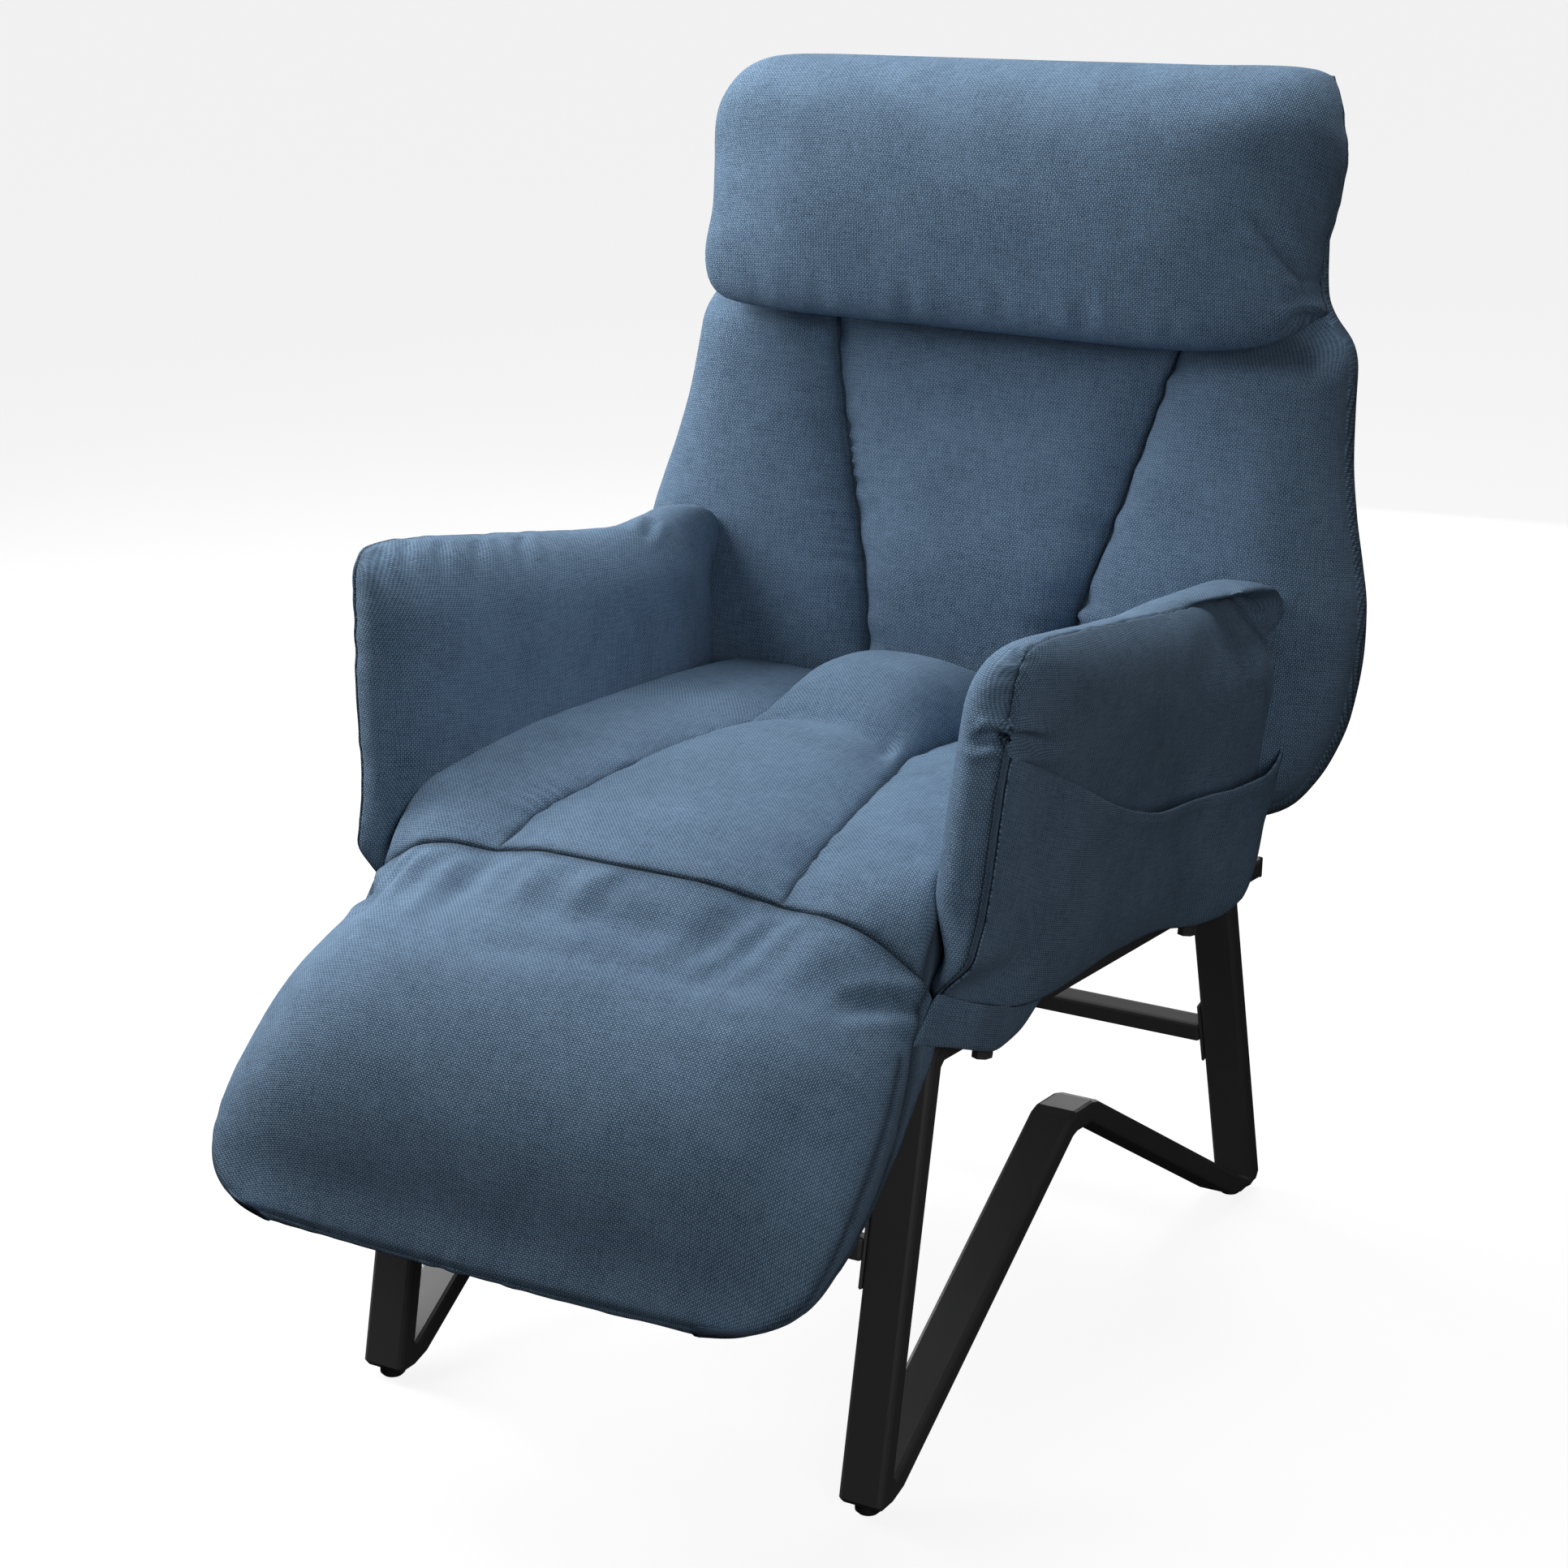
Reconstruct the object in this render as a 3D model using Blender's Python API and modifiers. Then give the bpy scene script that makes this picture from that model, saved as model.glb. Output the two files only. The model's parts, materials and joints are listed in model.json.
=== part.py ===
# Padded lounge recliner on a bent flat-tube steel base.
# Metres, +Z up, the chair faces -Y, +X is the sitter's left hand.
# Side-view figures below are (y, z) with y measured from the front foot;
# the whole chair is then shifted by Y_MID so that the origin lies on the floor
# under the middle of the chair.
import math

import bmesh
import bpy
from mathutils import Matrix, Vector

# ---------------------------------------------------------------- dimensions
Y_MID = 0.3195          # front foot to the middle of the chair's depth
GAP = 0.0003            # clearance between touching pieces

# base frame: flat tube, broad side facing forward
TUBE_W = 0.040          # across the chair
TUBE_T = 0.020          # in side view
TUBE_R = 0.004          # corner radius of the tube
LEG_X = 0.23575         # centre of each side frame
RAIL_SLOPE = 0.0586     # the rails fall towards the rear
RAIL_Z0 = 0.3631        # underside of the rail at RAIL_Y0
RAIL_Y0 = 0.0877
RAIL_END = 0.7205       # rear end of the rail
LEAN_F = 0.217          # front leg leans back, dy per dz
LEAN_R = -0.267         # rear leg leans forward
FOOT_Z = 0.0095         # underside of the bent tube over the glides
GLIDE_R = 0.011
BAR = 0.020             # square cross bars
BAR_Z_F = 0.2105
BAR_Z_R = 0.1740
PLATE = 0.003           # bracket steel
BRACKET_L = 0.064

# seat frame
SEAT_TUBE = 0.025
SEAT_Y = (0.085, 0.585)
SEAT_X = 0.2483
STRAP_T = 0.0024

# seat cushion
SEAT_PAD_X = 0.2220

# arms lean outwards
ARM_SHEAR = 0.09
ARM_REF_Z = 0.41

# back: pivot, lean from vertical, and depth behind the pivot plane
BACK_PIVOT = (0.610, 0.450)
BACK_LEAN = math.radians(13.0)
BACK_FRONT = -0.020
BACK_REAR = 0.0697

# foot rest: pivot and hang below level
FOOT_PIVOT = (0.055, 0.400)
FOOT_HANG = math.radians(40.0)

# head pillow swings on the seam along its upper rear edge
HEAD_PIVOT = (0.762, 1.050)

# ------------------------------------------------------------------- set up
for stale in list(bpy.data.objects):
    bpy.data.objects.remove(stale, do_unlink=True)

scene = bpy.context.scene
chair = bpy.data.collections.new("recliner")
scene.collection.children.link(chair)
cutters = bpy.data.collections.new("recliner_cutters")
scene.collection.children.link(cutters)


def principled(name, colour, roughness, metallic=0.0):
    m = bpy.data.materials.new(name)
    m.use_nodes = True
    shader = m.node_tree.nodes["Principled BSDF"]
    shader.inputs["Base Color"].default_value = (*colour, 1.0)
    shader.inputs["Roughness"].default_value = roughness
    shader.inputs["Metallic"].default_value = metallic
    return m


FABRIC = ("woven_fabric", (0.085, 0.145, 0.225), 0.9, 0.0)
POWDER = ("powder_coat", (0.012, 0.012, 0.013), 0.45, 0.3)
STEEL = ("zinc_steel", (0.45, 0.45, 0.46), 0.4, 1.0)
PLASTIC = ("black_plastic", (0.015, 0.015, 0.016), 0.55, 0.0)
WEBBING = ("webbing", (0.03, 0.03, 0.032), 0.85, 0.0)


def empty(name, parent, y, z):
    e = bpy.data.objects.new(name, None)
    e.empty_display_size = 0.05
    e.location = (0.0, y, z)
    e.parent = parent
    chair.objects.link(e)
    return e


origin = empty("recliner_origin", None, -Y_MID, 0.0)
back_axis = empty("back_recline_axis", origin, *BACK_PIVOT)
foot_axis = empty("footrest_axis", origin, *FOOT_PIVOT)
head_axis = empty("headrest_axis", back_axis,
                  HEAD_PIVOT[0] - BACK_PIVOT[0], HEAD_PIVOT[1] - BACK_PIVOT[1])


def finish(obj, look=None, parent=origin, smooth=True):
    if look is not None:
        obj.data.materials.clear()
        obj.data.materials.append(principled(obj.name + "_" + look[0], *look[1:]))
    obj.parent = parent
    if smooth:
        obj.data.shade_smooth()
        obj.data.set_sharp_from_angle(angle=math.radians(35))
    return obj


def as_cutter(obj):
    for c in list(obj.users_collection):
        c.objects.unlink(obj)
    cutters.objects.link(obj)
    obj.hide_render = True
    obj.display_type = "WIRE"
    return obj


def outline(name, loops, thickness, matrix, rounding=0.0):
    """Closed outlines in local XY, given a thickness along local Z and rounded rims."""
    cu = bpy.data.curves.new(name, "CURVE")
    cu.dimensions = "2D"
    cu.fill_mode = "BOTH"
    cu.extrude = thickness / 2 - rounding
    cu.bevel_depth = rounding
    cu.bevel_resolution = 1
    cu.offset = -rounding
    for loop in loops:
        sp = cu.splines.new("POLY")
        sp.points.add(len(loop) - 1)
        for p, (u, v) in zip(sp.points, loop):
            p.co = (u, v, 0.0, 1.0)
        sp.use_cyclic_u = True
    tmp = bpy.data.objects.new(name + "_outline", cu)
    chair.objects.link(tmp)
    deps = bpy.context.evaluated_depsgraph_get()
    me = bpy.data.meshes.new_from_object(tmp.evaluated_get(deps))
    bpy.data.objects.remove(tmp, do_unlink=True)
    bpy.data.curves.remove(cu)
    bm = bmesh.new()
    bm.from_mesh(me)
    bmesh.ops.remove_doubles(bm, verts=bm.verts, dist=1e-6)
    bmesh.ops.dissolve_limit(bm, angle_limit=math.radians(0.5),
                             verts=bm.verts, edges=bm.edges)
    bmesh.ops.recalc_face_normals(bm, faces=bm.faces)
    bm.to_mesh(me)
    bm.free()
    me.name = name
    obj = bpy.data.objects.new(name, me)
    chair.objects.link(obj)
    obj.matrix_basis = matrix
    return obj


SIDE_AXES = Matrix(((0, 0, 1, 0), (1, 0, 0, 0), (0, 1, 0, 0), (0, 0, 0, 1)))


def side_shape(name, loops, x0, x1, pivot=(0.0, 0.0), rounding=0.0):
    """Side-view outlines (y, z) given a width from x0 to x1."""
    loops = [[(y - pivot[0], z - pivot[1]) for y, z in loop] for loop in loops]
    m = Matrix.Translation(((x0 + x1) / 2, 0.0, 0.0)) @ SIDE_AXES
    return outline(name, loops, abs(x1 - x0), m, rounding)


def turned_about_x(angle, shift=(0.0, 0.0, 0.0)):
    return Matrix.Translation(shift) @ Matrix.Rotation(angle, 4, "X")


def bevel(obj, width, segments=2, angle=30.0):
    b = obj.modifiers.new("rounding", "BEVEL")
    b.width = width
    b.segments = segments
    b.limit_method = "ANGLE"
    b.angle_limit = math.radians(angle)
    b.use_clamp_overlap = True
    return obj


def boolean(obj, other, operation="DIFFERENCE"):
    m = obj.modifiers.new(operation.lower(), "BOOLEAN")
    m.operation = operation
    m.solver = "EXACT"
    m.object = other
    return obj


def box(name, lo, hi, matrix=None):
    me = bpy.data.meshes.new(name)
    bm = bmesh.new()
    bmesh.ops.create_cube(bm, size=1.0)
    size = Vector(hi) - Vector(lo)
    mid = (Vector(hi) + Vector(lo)) / 2
    bmesh.ops.scale(bm, vec=size, verts=bm.verts)
    bmesh.ops.translate(bm, vec=mid, verts=bm.verts)
    bm.to_mesh(me)
    bm.free()
    obj = bpy.data.objects.new(name, me)
    chair.objects.link(obj)
    if matrix is not None:
        obj.matrix_basis = matrix
    return obj


def add_rod(bm, a, b, radius, sides=16, radius_end=None):
    """A closed cylinder from point a to point b."""
    a, b = Vector(a), Vector(b)
    d = b - a
    m = Matrix.Translation((a + b) / 2) @ d.to_track_quat("Z", "Y").to_matrix().to_4x4()
    bmesh.ops.create_cone(bm, cap_ends=True, segments=sides, radius1=radius,
                          radius2=radius if radius_end is None else radius_end,
                          depth=d.length, matrix=m)


def rods(name, items, sides=16):
    me = bpy.data.meshes.new(name)
    bm = bmesh.new()
    for a, b, r in items:
        add_rod(bm, a, b, r, sides)
    bm.to_mesh(me)
    bm.free()
    obj = bpy.data.objects.new(name, me)
    chair.objects.link(obj)
    return obj


def turned(name, profile, base, direction, steps=20):
    """A turned piece: profile (radius, height) from the top down, on an axis."""
    me = bpy.data.meshes.new(name)
    bm = bmesh.new()
    vs = [bm.verts.new((r, 0.0, h)) for r, h in profile]
    for p, q in zip(vs, vs[1:]):
        bm.edges.new((p, q))
    bm.to_mesh(me)
    bm.free()
    obj = bpy.data.objects.new(name, me)
    chair.objects.link(obj)
    s = obj.modifiers.new("turn", "SCREW")
    s.axis = "Z"
    s.steps = s.render_steps = steps
    s.use_merge_vertices = True
    s.merge_threshold = 0.00001
    q = Vector(direction).to_track_quat("Z", "Y").to_matrix().to_4x4()
    obj.matrix_basis = Matrix.Translation(base) @ q
    return obj


def bolt(name, seat_point, direction, head_r, head_h, shank_r, shank_l, look, parent=origin):
    """Button-head bolt: underside of the head at seat_point, the shank runs along -direction."""
    profile = [(0.0, head_h), (head_r * 0.55, head_h), (head_r * 0.9, head_h * 0.62),
               (head_r, head_h * 0.18), (head_r, 0.0), (shank_r, 0.0),
               (shank_r, -shank_l), (0.0, -shank_l)]
    return finish(turned(name, profile, seat_point, direction, 16), look, parent)


def rounded_path(points, radius, closed=True, steps=5):
    """Corner points joined by arcs of the given radius."""
    n = len(points)
    out = []
    for i, p in enumerate(points):
        p = Vector(p)
        if not closed and i in (0, n - 1):
            out.append(p)
            continue
        a = (Vector(points[i - 1]) - p).normalized()
        b = (Vector(points[(i + 1) % n]) - p).normalized()
        half = a.angle(b) / 2
        cut = radius / math.tan(half)
        centre = p + (a + b).normalized() * (radius / math.sin(half))
        start, end = p + a * cut - centre, p + b * cut - centre
        turn = start.angle(end)
        axis = start.cross(end).normalized()
        for k in range(steps + 1):
            out.append(centre + Matrix.Rotation(turn * k / steps, 3, axis) @ start)
    return out


def tube(name, points, radius, closed, sides_res=2):
    """A round tube along a path, as a closed mesh."""
    cu = bpy.data.curves.new(name, "CURVE")
    cu.dimensions = "3D"
    cu.bevel_depth = radius
    cu.bevel_resolution = sides_res
    cu.use_fill_caps = True
    sp = cu.splines.new("POLY")
    sp.points.add(len(points) - 1)
    for p, co in zip(sp.points, points):
        p.co = (*co, 1.0)
    sp.use_cyclic_u = closed
    tmp = bpy.data.objects.new(name + "_path", cu)
    chair.objects.link(tmp)
    deps = bpy.context.evaluated_depsgraph_get()
    me = bpy.data.meshes.new_from_object(tmp.evaluated_get(deps))
    bpy.data.objects.remove(tmp, do_unlink=True)
    bpy.data.curves.remove(cu)
    bm = bmesh.new()
    bm.from_mesh(me)
    bmesh.ops.remove_doubles(bm, verts=bm.verts, dist=1e-6)
    bmesh.ops.recalc_face_normals(bm, faces=bm.faces)
    bm.to_mesh(me)
    bm.free()
    me.name = name
    obj = bpy.data.objects.new(name, me)
    chair.objects.link(obj)
    return obj


def arc(cy, cz, r, a0, a1, n):
    """Points on a side-view arc, angles in degrees from +y towards +z."""
    return [(cy + r * math.cos(math.radians(a0 + (a1 - a0) * k / n)),
             cz + r * math.sin(math.radians(a0 + (a1 - a0) * k / n))) for k in range(n + 1)]


def meet(p, d, q, e):
    """Where the line through p along d meets the line through q along e."""
    det = d[0] * -e[1] + e[0] * d[1]
    t = ((q[0] - p[0]) * -e[1] + e[0] * (q[1] - p[1])) / det
    return (p[0] + d[0] * t, p[1] + d[1] * t)


SIDES = (("left", 1.0), ("right", -1.0))


def rail_under(y):
    return RAIL_Z0 - RAIL_SLOPE * (y - RAIL_Y0)


def rail_top(y):
    return rail_under(y) + TUBE_T * math.sqrt(1 + RAIL_SLOPE ** 2)


def frame_top(y):
    return rail_top(y) + GAP + SEAT_TUBE


RAIL_TILT = math.atan(RAIL_SLOPE)


# ----------------------------------------------------------------- side frames
# Centre lines in side view. The tube runs from the rear end of the rail forward,
# down the front leg, up and down the two struts of the shallow M and up the rear leg.
def offset_line(p, d, s):
    n = math.hypot(*d)
    return ((p[0] - d[1] / n * s, p[1] + d[0] / n * s), d)


half = TUBE_T / 2
leg_f = ((0.0000, 0.0100), (LEAN_F, 1.0))
leg_r = ((0.7358, 0.0300), (LEAN_R, 1.0))
peak_top = 0.2296
strut_f = ((0.0787, 0.0573), (0.3306 - 0.0787, 0.2206 - 0.0573))
strut_r = ((0.6287, 0.0625), (0.4868 - 0.6287, 0.1483 - 0.0625))
rail_c = ((RAIL_Y0, RAIL_Z0 + half), (1.0, -RAIL_SLOPE))
peak_c = ((0.350, peak_top - half), (1.0, -0.06))

# outer boundary, anticlockwise seen from +X
front_face = offset_line(*leg_f, half)
rear_of_front = offset_line(*leg_f, -half)
strut_f_up = offset_line(*strut_f, half)
strut_f_dn = offset_line(*strut_f, -half)
strut_r_up = offset_line(*strut_r, -half)
strut_r_dn = offset_line(*strut_r, half)
rear_face = offset_line(*leg_r, -half)
front_of_rear = offset_line(*leg_r, half)
rail_up = offset_line(*rail_c, half)
rail_dn = offset_line(*rail_c, -half)
peak_up = offset_line(*peak_c, half)
peak_dn = offset_line(*peak_c, -half)
floor_line = ((0.0, FOOT_Z), (1.0, 0.0))
end_line = ((RAIL_END, rail_under(RAIL_END) + half), (RAIL_SLOPE, 1.0))


def chamfer(prev, p, nxt, size):
    a = Vector(prev) - Vector(p)
    b = Vector(nxt) - Vector(p)
    p = Vector(p)
    q, r = p + a.normalized() * size, p + b.normalized() * size
    return [tuple(q), tuple(r)]


o_end_top = meet(*rail_up, *end_line)
o_top = meet(*rail_up, *front_face)
o_foot_f = meet(*front_face, *floor_line)
o_foot_f2 = meet(*strut_f_dn, *floor_line)
o_peak_f = meet(*strut_f_dn, *peak_dn)
o_peak_r = meet(*strut_r_dn, *peak_dn)
o_foot_r2 = meet(*strut_r_dn, *floor_line)
o_foot_r = meet(*rear_face, *floor_line)
o_weld = meet(*rear_face, *rail_dn)
o_end_dn = meet(*rail_dn, *end_line)
outer = ([o_end_top]
         + chamfer(o_end_top, o_top, o_foot_f, 0.011)
         + chamfer(o_top, o_foot_f, o_foot_f2, 0.005)
         + chamfer(o_foot_f, o_foot_f2, o_peak_f, 0.010)
         + chamfer(o_foot_f2, o_peak_f, o_peak_r, 0.004)
         + chamfer(o_peak_f, o_peak_r, o_foot_r2, 0.004)
         + chamfer(o_peak_r, o_foot_r2, o_foot_r, 0.010)
         + chamfer(o_foot_r2, o_foot_r, o_weld, 0.008)
         + [o_weld, o_end_dn])
i_top = meet(*rail_dn, *rear_of_front)
i_vf = meet(*rear_of_front, *strut_f_up)
i_peak_f = meet(*strut_f_up, *peak_up)
i_peak_r = meet(*strut_r_up, *peak_up)
i_vr = meet(*strut_r_up, *front_of_rear)
i_rear = meet(*front_of_rear, *rail_dn)
inner = (chamfer(i_rear, i_top, i_vf, 0.004)
         + chamfer(i_top, i_vf, i_peak_f, 0.004)
         + chamfer(i_vf, i_peak_f, i_peak_r, 0.006)
         + chamfer(i_peak_f, i_peak_r, i_vr, 0.006)
         + chamfer(i_peak_r, i_vr, i_rear, 0.004)
         + [i_rear])

GLIDE_Y = ((o_foot_f[0] + o_foot_f2[0]) / 2, (o_foot_r[0] + o_foot_r2[0]) / 2)
GLIDE_STEM = 0.009
SEAT_BOLT_Y = (0.200, 0.450)
ARM_BOLT_Y = (0.130, 0.530)
rail_dir = Vector((0.0, math.sin(RAIL_TILT), math.cos(RAIL_TILT)))


def leg_point(front, z):
    return LEAN_F * (z - 0.01) if front else 0.7358 + LEAN_R * (z - 0.03)


for side, sx in SIDES:
    x = sx * LEG_X
    frame = side_shape("side_frame_" + side, [outer, inner], x - TUBE_W / 2, x + TUBE_W / 2, rounding=TUBE_R)
    holes = []
    for gy in GLIDE_Y:
        holes.append(((x, gy, FOOT_Z - 0.01), (x, gy, FOOT_Z + GLIDE_STEM), 0.0034))
    for by in SEAT_BOLT_Y:
        mid = Vector((x, by, rail_under(by) + half))
        holes.append((mid - rail_dir * 0.02, mid + rail_dir * 0.02, 0.0044))
    for by in ARM_BOLT_Y:
        bz = rail_under(by) + half
        holes.append(((x - 0.03, by, bz), (x + 0.03, by, bz), 0.0044))
    for front, bz in ((True, BAR_Z_F), (False, BAR_Z_R)):
        lean = math.atan(LEAN_F if front else LEAN_R)
        q = Vector((0.0, math.cos(lean), -math.sin(lean)))
        c = Vector((x, leg_point(front, bz), bz))
        holes.append((c + q * 0.002, c + q * 0.03, 0.0034))
    drill = as_cutter(rods("side_frame_holes_" + side, holes, 12))
    drill.parent = origin
    socket = as_cutter(box("rail_end_socket_" + side, (-0.018, -0.014, -0.008), (0.018, 0.02, 0.008),
                           turned_about_x(-RAIL_TILT, (x, RAIL_END, rail_under(RAIL_END) + half))))
    socket.parent = origin
    boolean(frame, drill)
    boolean(frame, socket)
    finish(frame, POWDER)

    # push-in end cap on the open rear end of the rail
    seat = turned_about_x(-RAIL_TILT, (x, RAIL_END, rail_under(RAIL_END) + half))
    cap = box("rail_end_cap_" + side, (-TUBE_W / 2, GAP, -half), (TUBE_W / 2, 0.0035, half), seat)
    bevel(cap, 0.0024, 2)
    plug = as_cutter(box("rail_end_plug_" + side, (-0.0176, -0.0130, -0.0076), (0.0176, 0.0012, 0.0076), seat))
    plug.parent = origin
    boolean(cap, plug, "UNION")
    finish(cap, PLASTIC)

    # glides under the two feet
    for where, gy in zip(("front", "rear"), GLIDE_Y):
        top = FOOT_Z - GAP
        g = turned("glide_%s_%s" % (where, side),
                   [(0.0, top + GLIDE_STEM), (0.003, top + GLIDE_STEM), (0.003, top),
                    (GLIDE_R * 0.9, top), (GLIDE_R, top - 0.0015), (GLIDE_R, 0.0025),
                    (GLIDE_R - 0.0025, 0.0), (0.0, 0.0)], (x, gy, 0.0), (0, 0, 1), 20)
        finish(g, PLASTIC)

    # angle brackets that hold the cross bars, one bolt each
    for where, front, bz in (("front", True, BAR_Z_F), ("rear", False, BAR_Z_R)):
        lean = math.atan(LEAN_F if front else LEAN_R)
        c = Vector((0.0, leg_point(front, bz), bz))
        xi = LEG_X - TUBE_W / 2 - GAP          # inner face of the leg
        loop = [(sx * u, v) for u, v in
                [(xi - PLATE, -0.0095), (xi, -0.0095), (xi, half + GAP), (xi + 0.031, half + GAP),
                 (xi + 0.031, half + GAP + PLATE), (xi - PLATE, half + GAP + PLATE)]]
        b = outline("crossbar_bracket_%s_%s" % (where, side), [loop], BRACKET_L,
                    turned_about_x(-lean, c))
        bevel(b, 0.0012, 1, 60)
        q = Vector((0.0, math.cos(lean), -math.sin(lean)))
        bc = Vector((x, c.y, c.z))
        hole = as_cutter(rods("bracket_hole_%s_%s" % (where, side),
                              [(bc + q * 0.004, bc + q * 0.03, 0.0034)], 12))
        hole.parent = origin
        boolean(b, hole)
        finish(b, POWDER)
        bolt("bracket_bolt_%s_%s" % (where, side), bc + q * (half + 2 * GAP + PLATE), q,
             0.0062, 0.0042, 0.0030, 0.0100, STEEL)

# cross bars between the brackets
for where, front, bz in (("front", True, BAR_Z_F), ("rear", False, BAR_Z_R)):
    lean = math.atan(LEAN_F if front else LEAN_R)
    reach = LEG_X - TUBE_W / 2 - 2 * GAP - PLATE
    bar = box("crossbar_" + where, (-reach, -BAR / 2, -BAR / 2), (reach, BAR / 2, BAR / 2),
              turned_about_x(-lean, (0.0, leg_point(front, bz), bz)))
    bevel(bar, 0.003, 2)
    finish(bar, POWDER)

# ------------------------------------------------------------------ seat frame
seat_mid_y = sum(SEAT_Y) / 2
seat_mid_z = rail_top(seat_mid_y) + GAP + SEAT_TUBE / 2
seat_half = (SEAT_Y[1] - SEAT_Y[0]) / 2
seat_plane = turned_about_x(-RAIL_TILT, (0.0, seat_mid_y, seat_mid_z))


def rounded_rect(hx, hy, r, n=4):
    pts = []
    for cx, cy, a in ((hx - r, hy - r, 0), (-hx + r, hy - r, 90), (-hx + r, -hy + r, 180), (hx - r, -hy + r, 270)):
        for k in range(n + 1):
            t = math.radians(a + 90.0 * k / n)
            pts.append((cx + r * math.cos(t), cy + r * math.sin(t)))
    return pts


seat_frame = outline("seat_frame",
                     [rounded_rect(SEAT_X, seat_half, 0.018),
                      rounded_rect(SEAT_X - SEAT_TUBE, seat_half - SEAT_TUBE, 0.006, 2)],
                     SEAT_TUBE, seat_plane)
bevel(seat_frame, 0.003, 1, 60)
seat_holes = []
for sx in (1.0, -1.0):
    for by in SEAT_BOLT_Y:
        mid = Vector((sx * LEG_X, by, rail_under(by) + half))
        seat_holes.append((mid, mid + rail_dir * (half + 0.016), 0.0044))
drill = as_cutter(rods("seat_frame_holes", seat_holes, 12))
drill.parent = origin
boolean(seat_frame, drill)
finish(seat_frame, POWDER)

for side, sx in SIDES:
    for where, by in zip(("front", "rear"), SEAT_BOLT_Y):
        under = Vector((sx * LEG_X, by, rail_under(by) + half)) - rail_dir * (half + GAP)
        bolt("seat_bolt_%s_%s" % (where, side), under, -rail_dir, 0.0075, 0.0048, 0.0040, 0.0300, STEEL)

# elastic webbing across the seat frame
for n, sy in enumerate((0.205, 0.335, 0.465), 1):
    lo = SEAT_TUBE / 2 + GAP
    strap = box("seat_strap_%d" % n, (-0.244, sy - seat_mid_y - 0.030, lo),
                (0.244, sy - seat_mid_y + 0.030, lo + STRAP_T), seat_plane)
    finish(strap, WEBBING, smooth=False)

# ---------------------------------------------------------------- seat cushion
lift = 2 * GAP + STRAP_T + 0.0006


def pad_under(y):
    return frame_top(y) + lift


seat_profile = [(0.0665, pad_under(0.0665)), (0.575, pad_under(0.575)), (0.575, 0.530), (0.520, 0.542),
                (0.430, 0.546), (0.300, 0.534), (0.150, 0.519), (0.0665, 0.506)]
seat_pad = side_shape("seat_cushion", [seat_profile], -SEAT_PAD_X, SEAT_PAD_X)
bevel(seat_pad, 0.022, 3)
finish(seat_pad, FABRIC)


# ------------------------------------------------------------------------ arms
def lean_out(obj, sx):
    """Tip the arm outwards with height."""
    me = obj.data
    for v in me.vertices:
        w = obj.matrix_basis @ v.co
        w.x += sx * ARM_SHEAR * (w.z - ARM_REF_Z)
        v.co = w
    obj.matrix_basis = Matrix.Identity(4)


arm_profile = [(0.070, pad_under(0.070)), (0.585, pad_under(0.585)), (0.585, 0.628), (0.470, 0.670),
               (0.300, 0.690), (0.098, 0.706), (0.078, 0.610), (0.070, 0.510)]
panel_profile = [(0.074, 0.402), (0.300, 0.378), (0.520, 0.352), (0.580, 0.400), (0.583, 0.500),
                 (0.580, 0.622), (0.470, 0.664), (0.300, 0.684), (0.122, 0.697), (0.096, 0.605), (0.075, 0.505)]
lip = [(0.576, 0.487), (0.480, 0.488), (0.371, 0.500), (0.240, 0.545), (0.107, 0.610)]
pocket_profile = [(0.090, 0.520), (0.084, 0.408), (0.300, 0.383), (0.518, 0.358), (0.574, 0.402)] + lip
pocket_space = [(0.103, 0.520), (0.098, 0.420), (0.300, 0.396), (0.514, 0.371), (0.562, 0.408),
                (0.562, 0.70), (0.118, 0.70)]
ARM_IN, ARM_OUT = 0.2270, 0.2820
ARM_TUBE_R = 0.009
ARM_TUBE_X = 0.2724
POCKET_OUT = 0.3060

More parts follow.
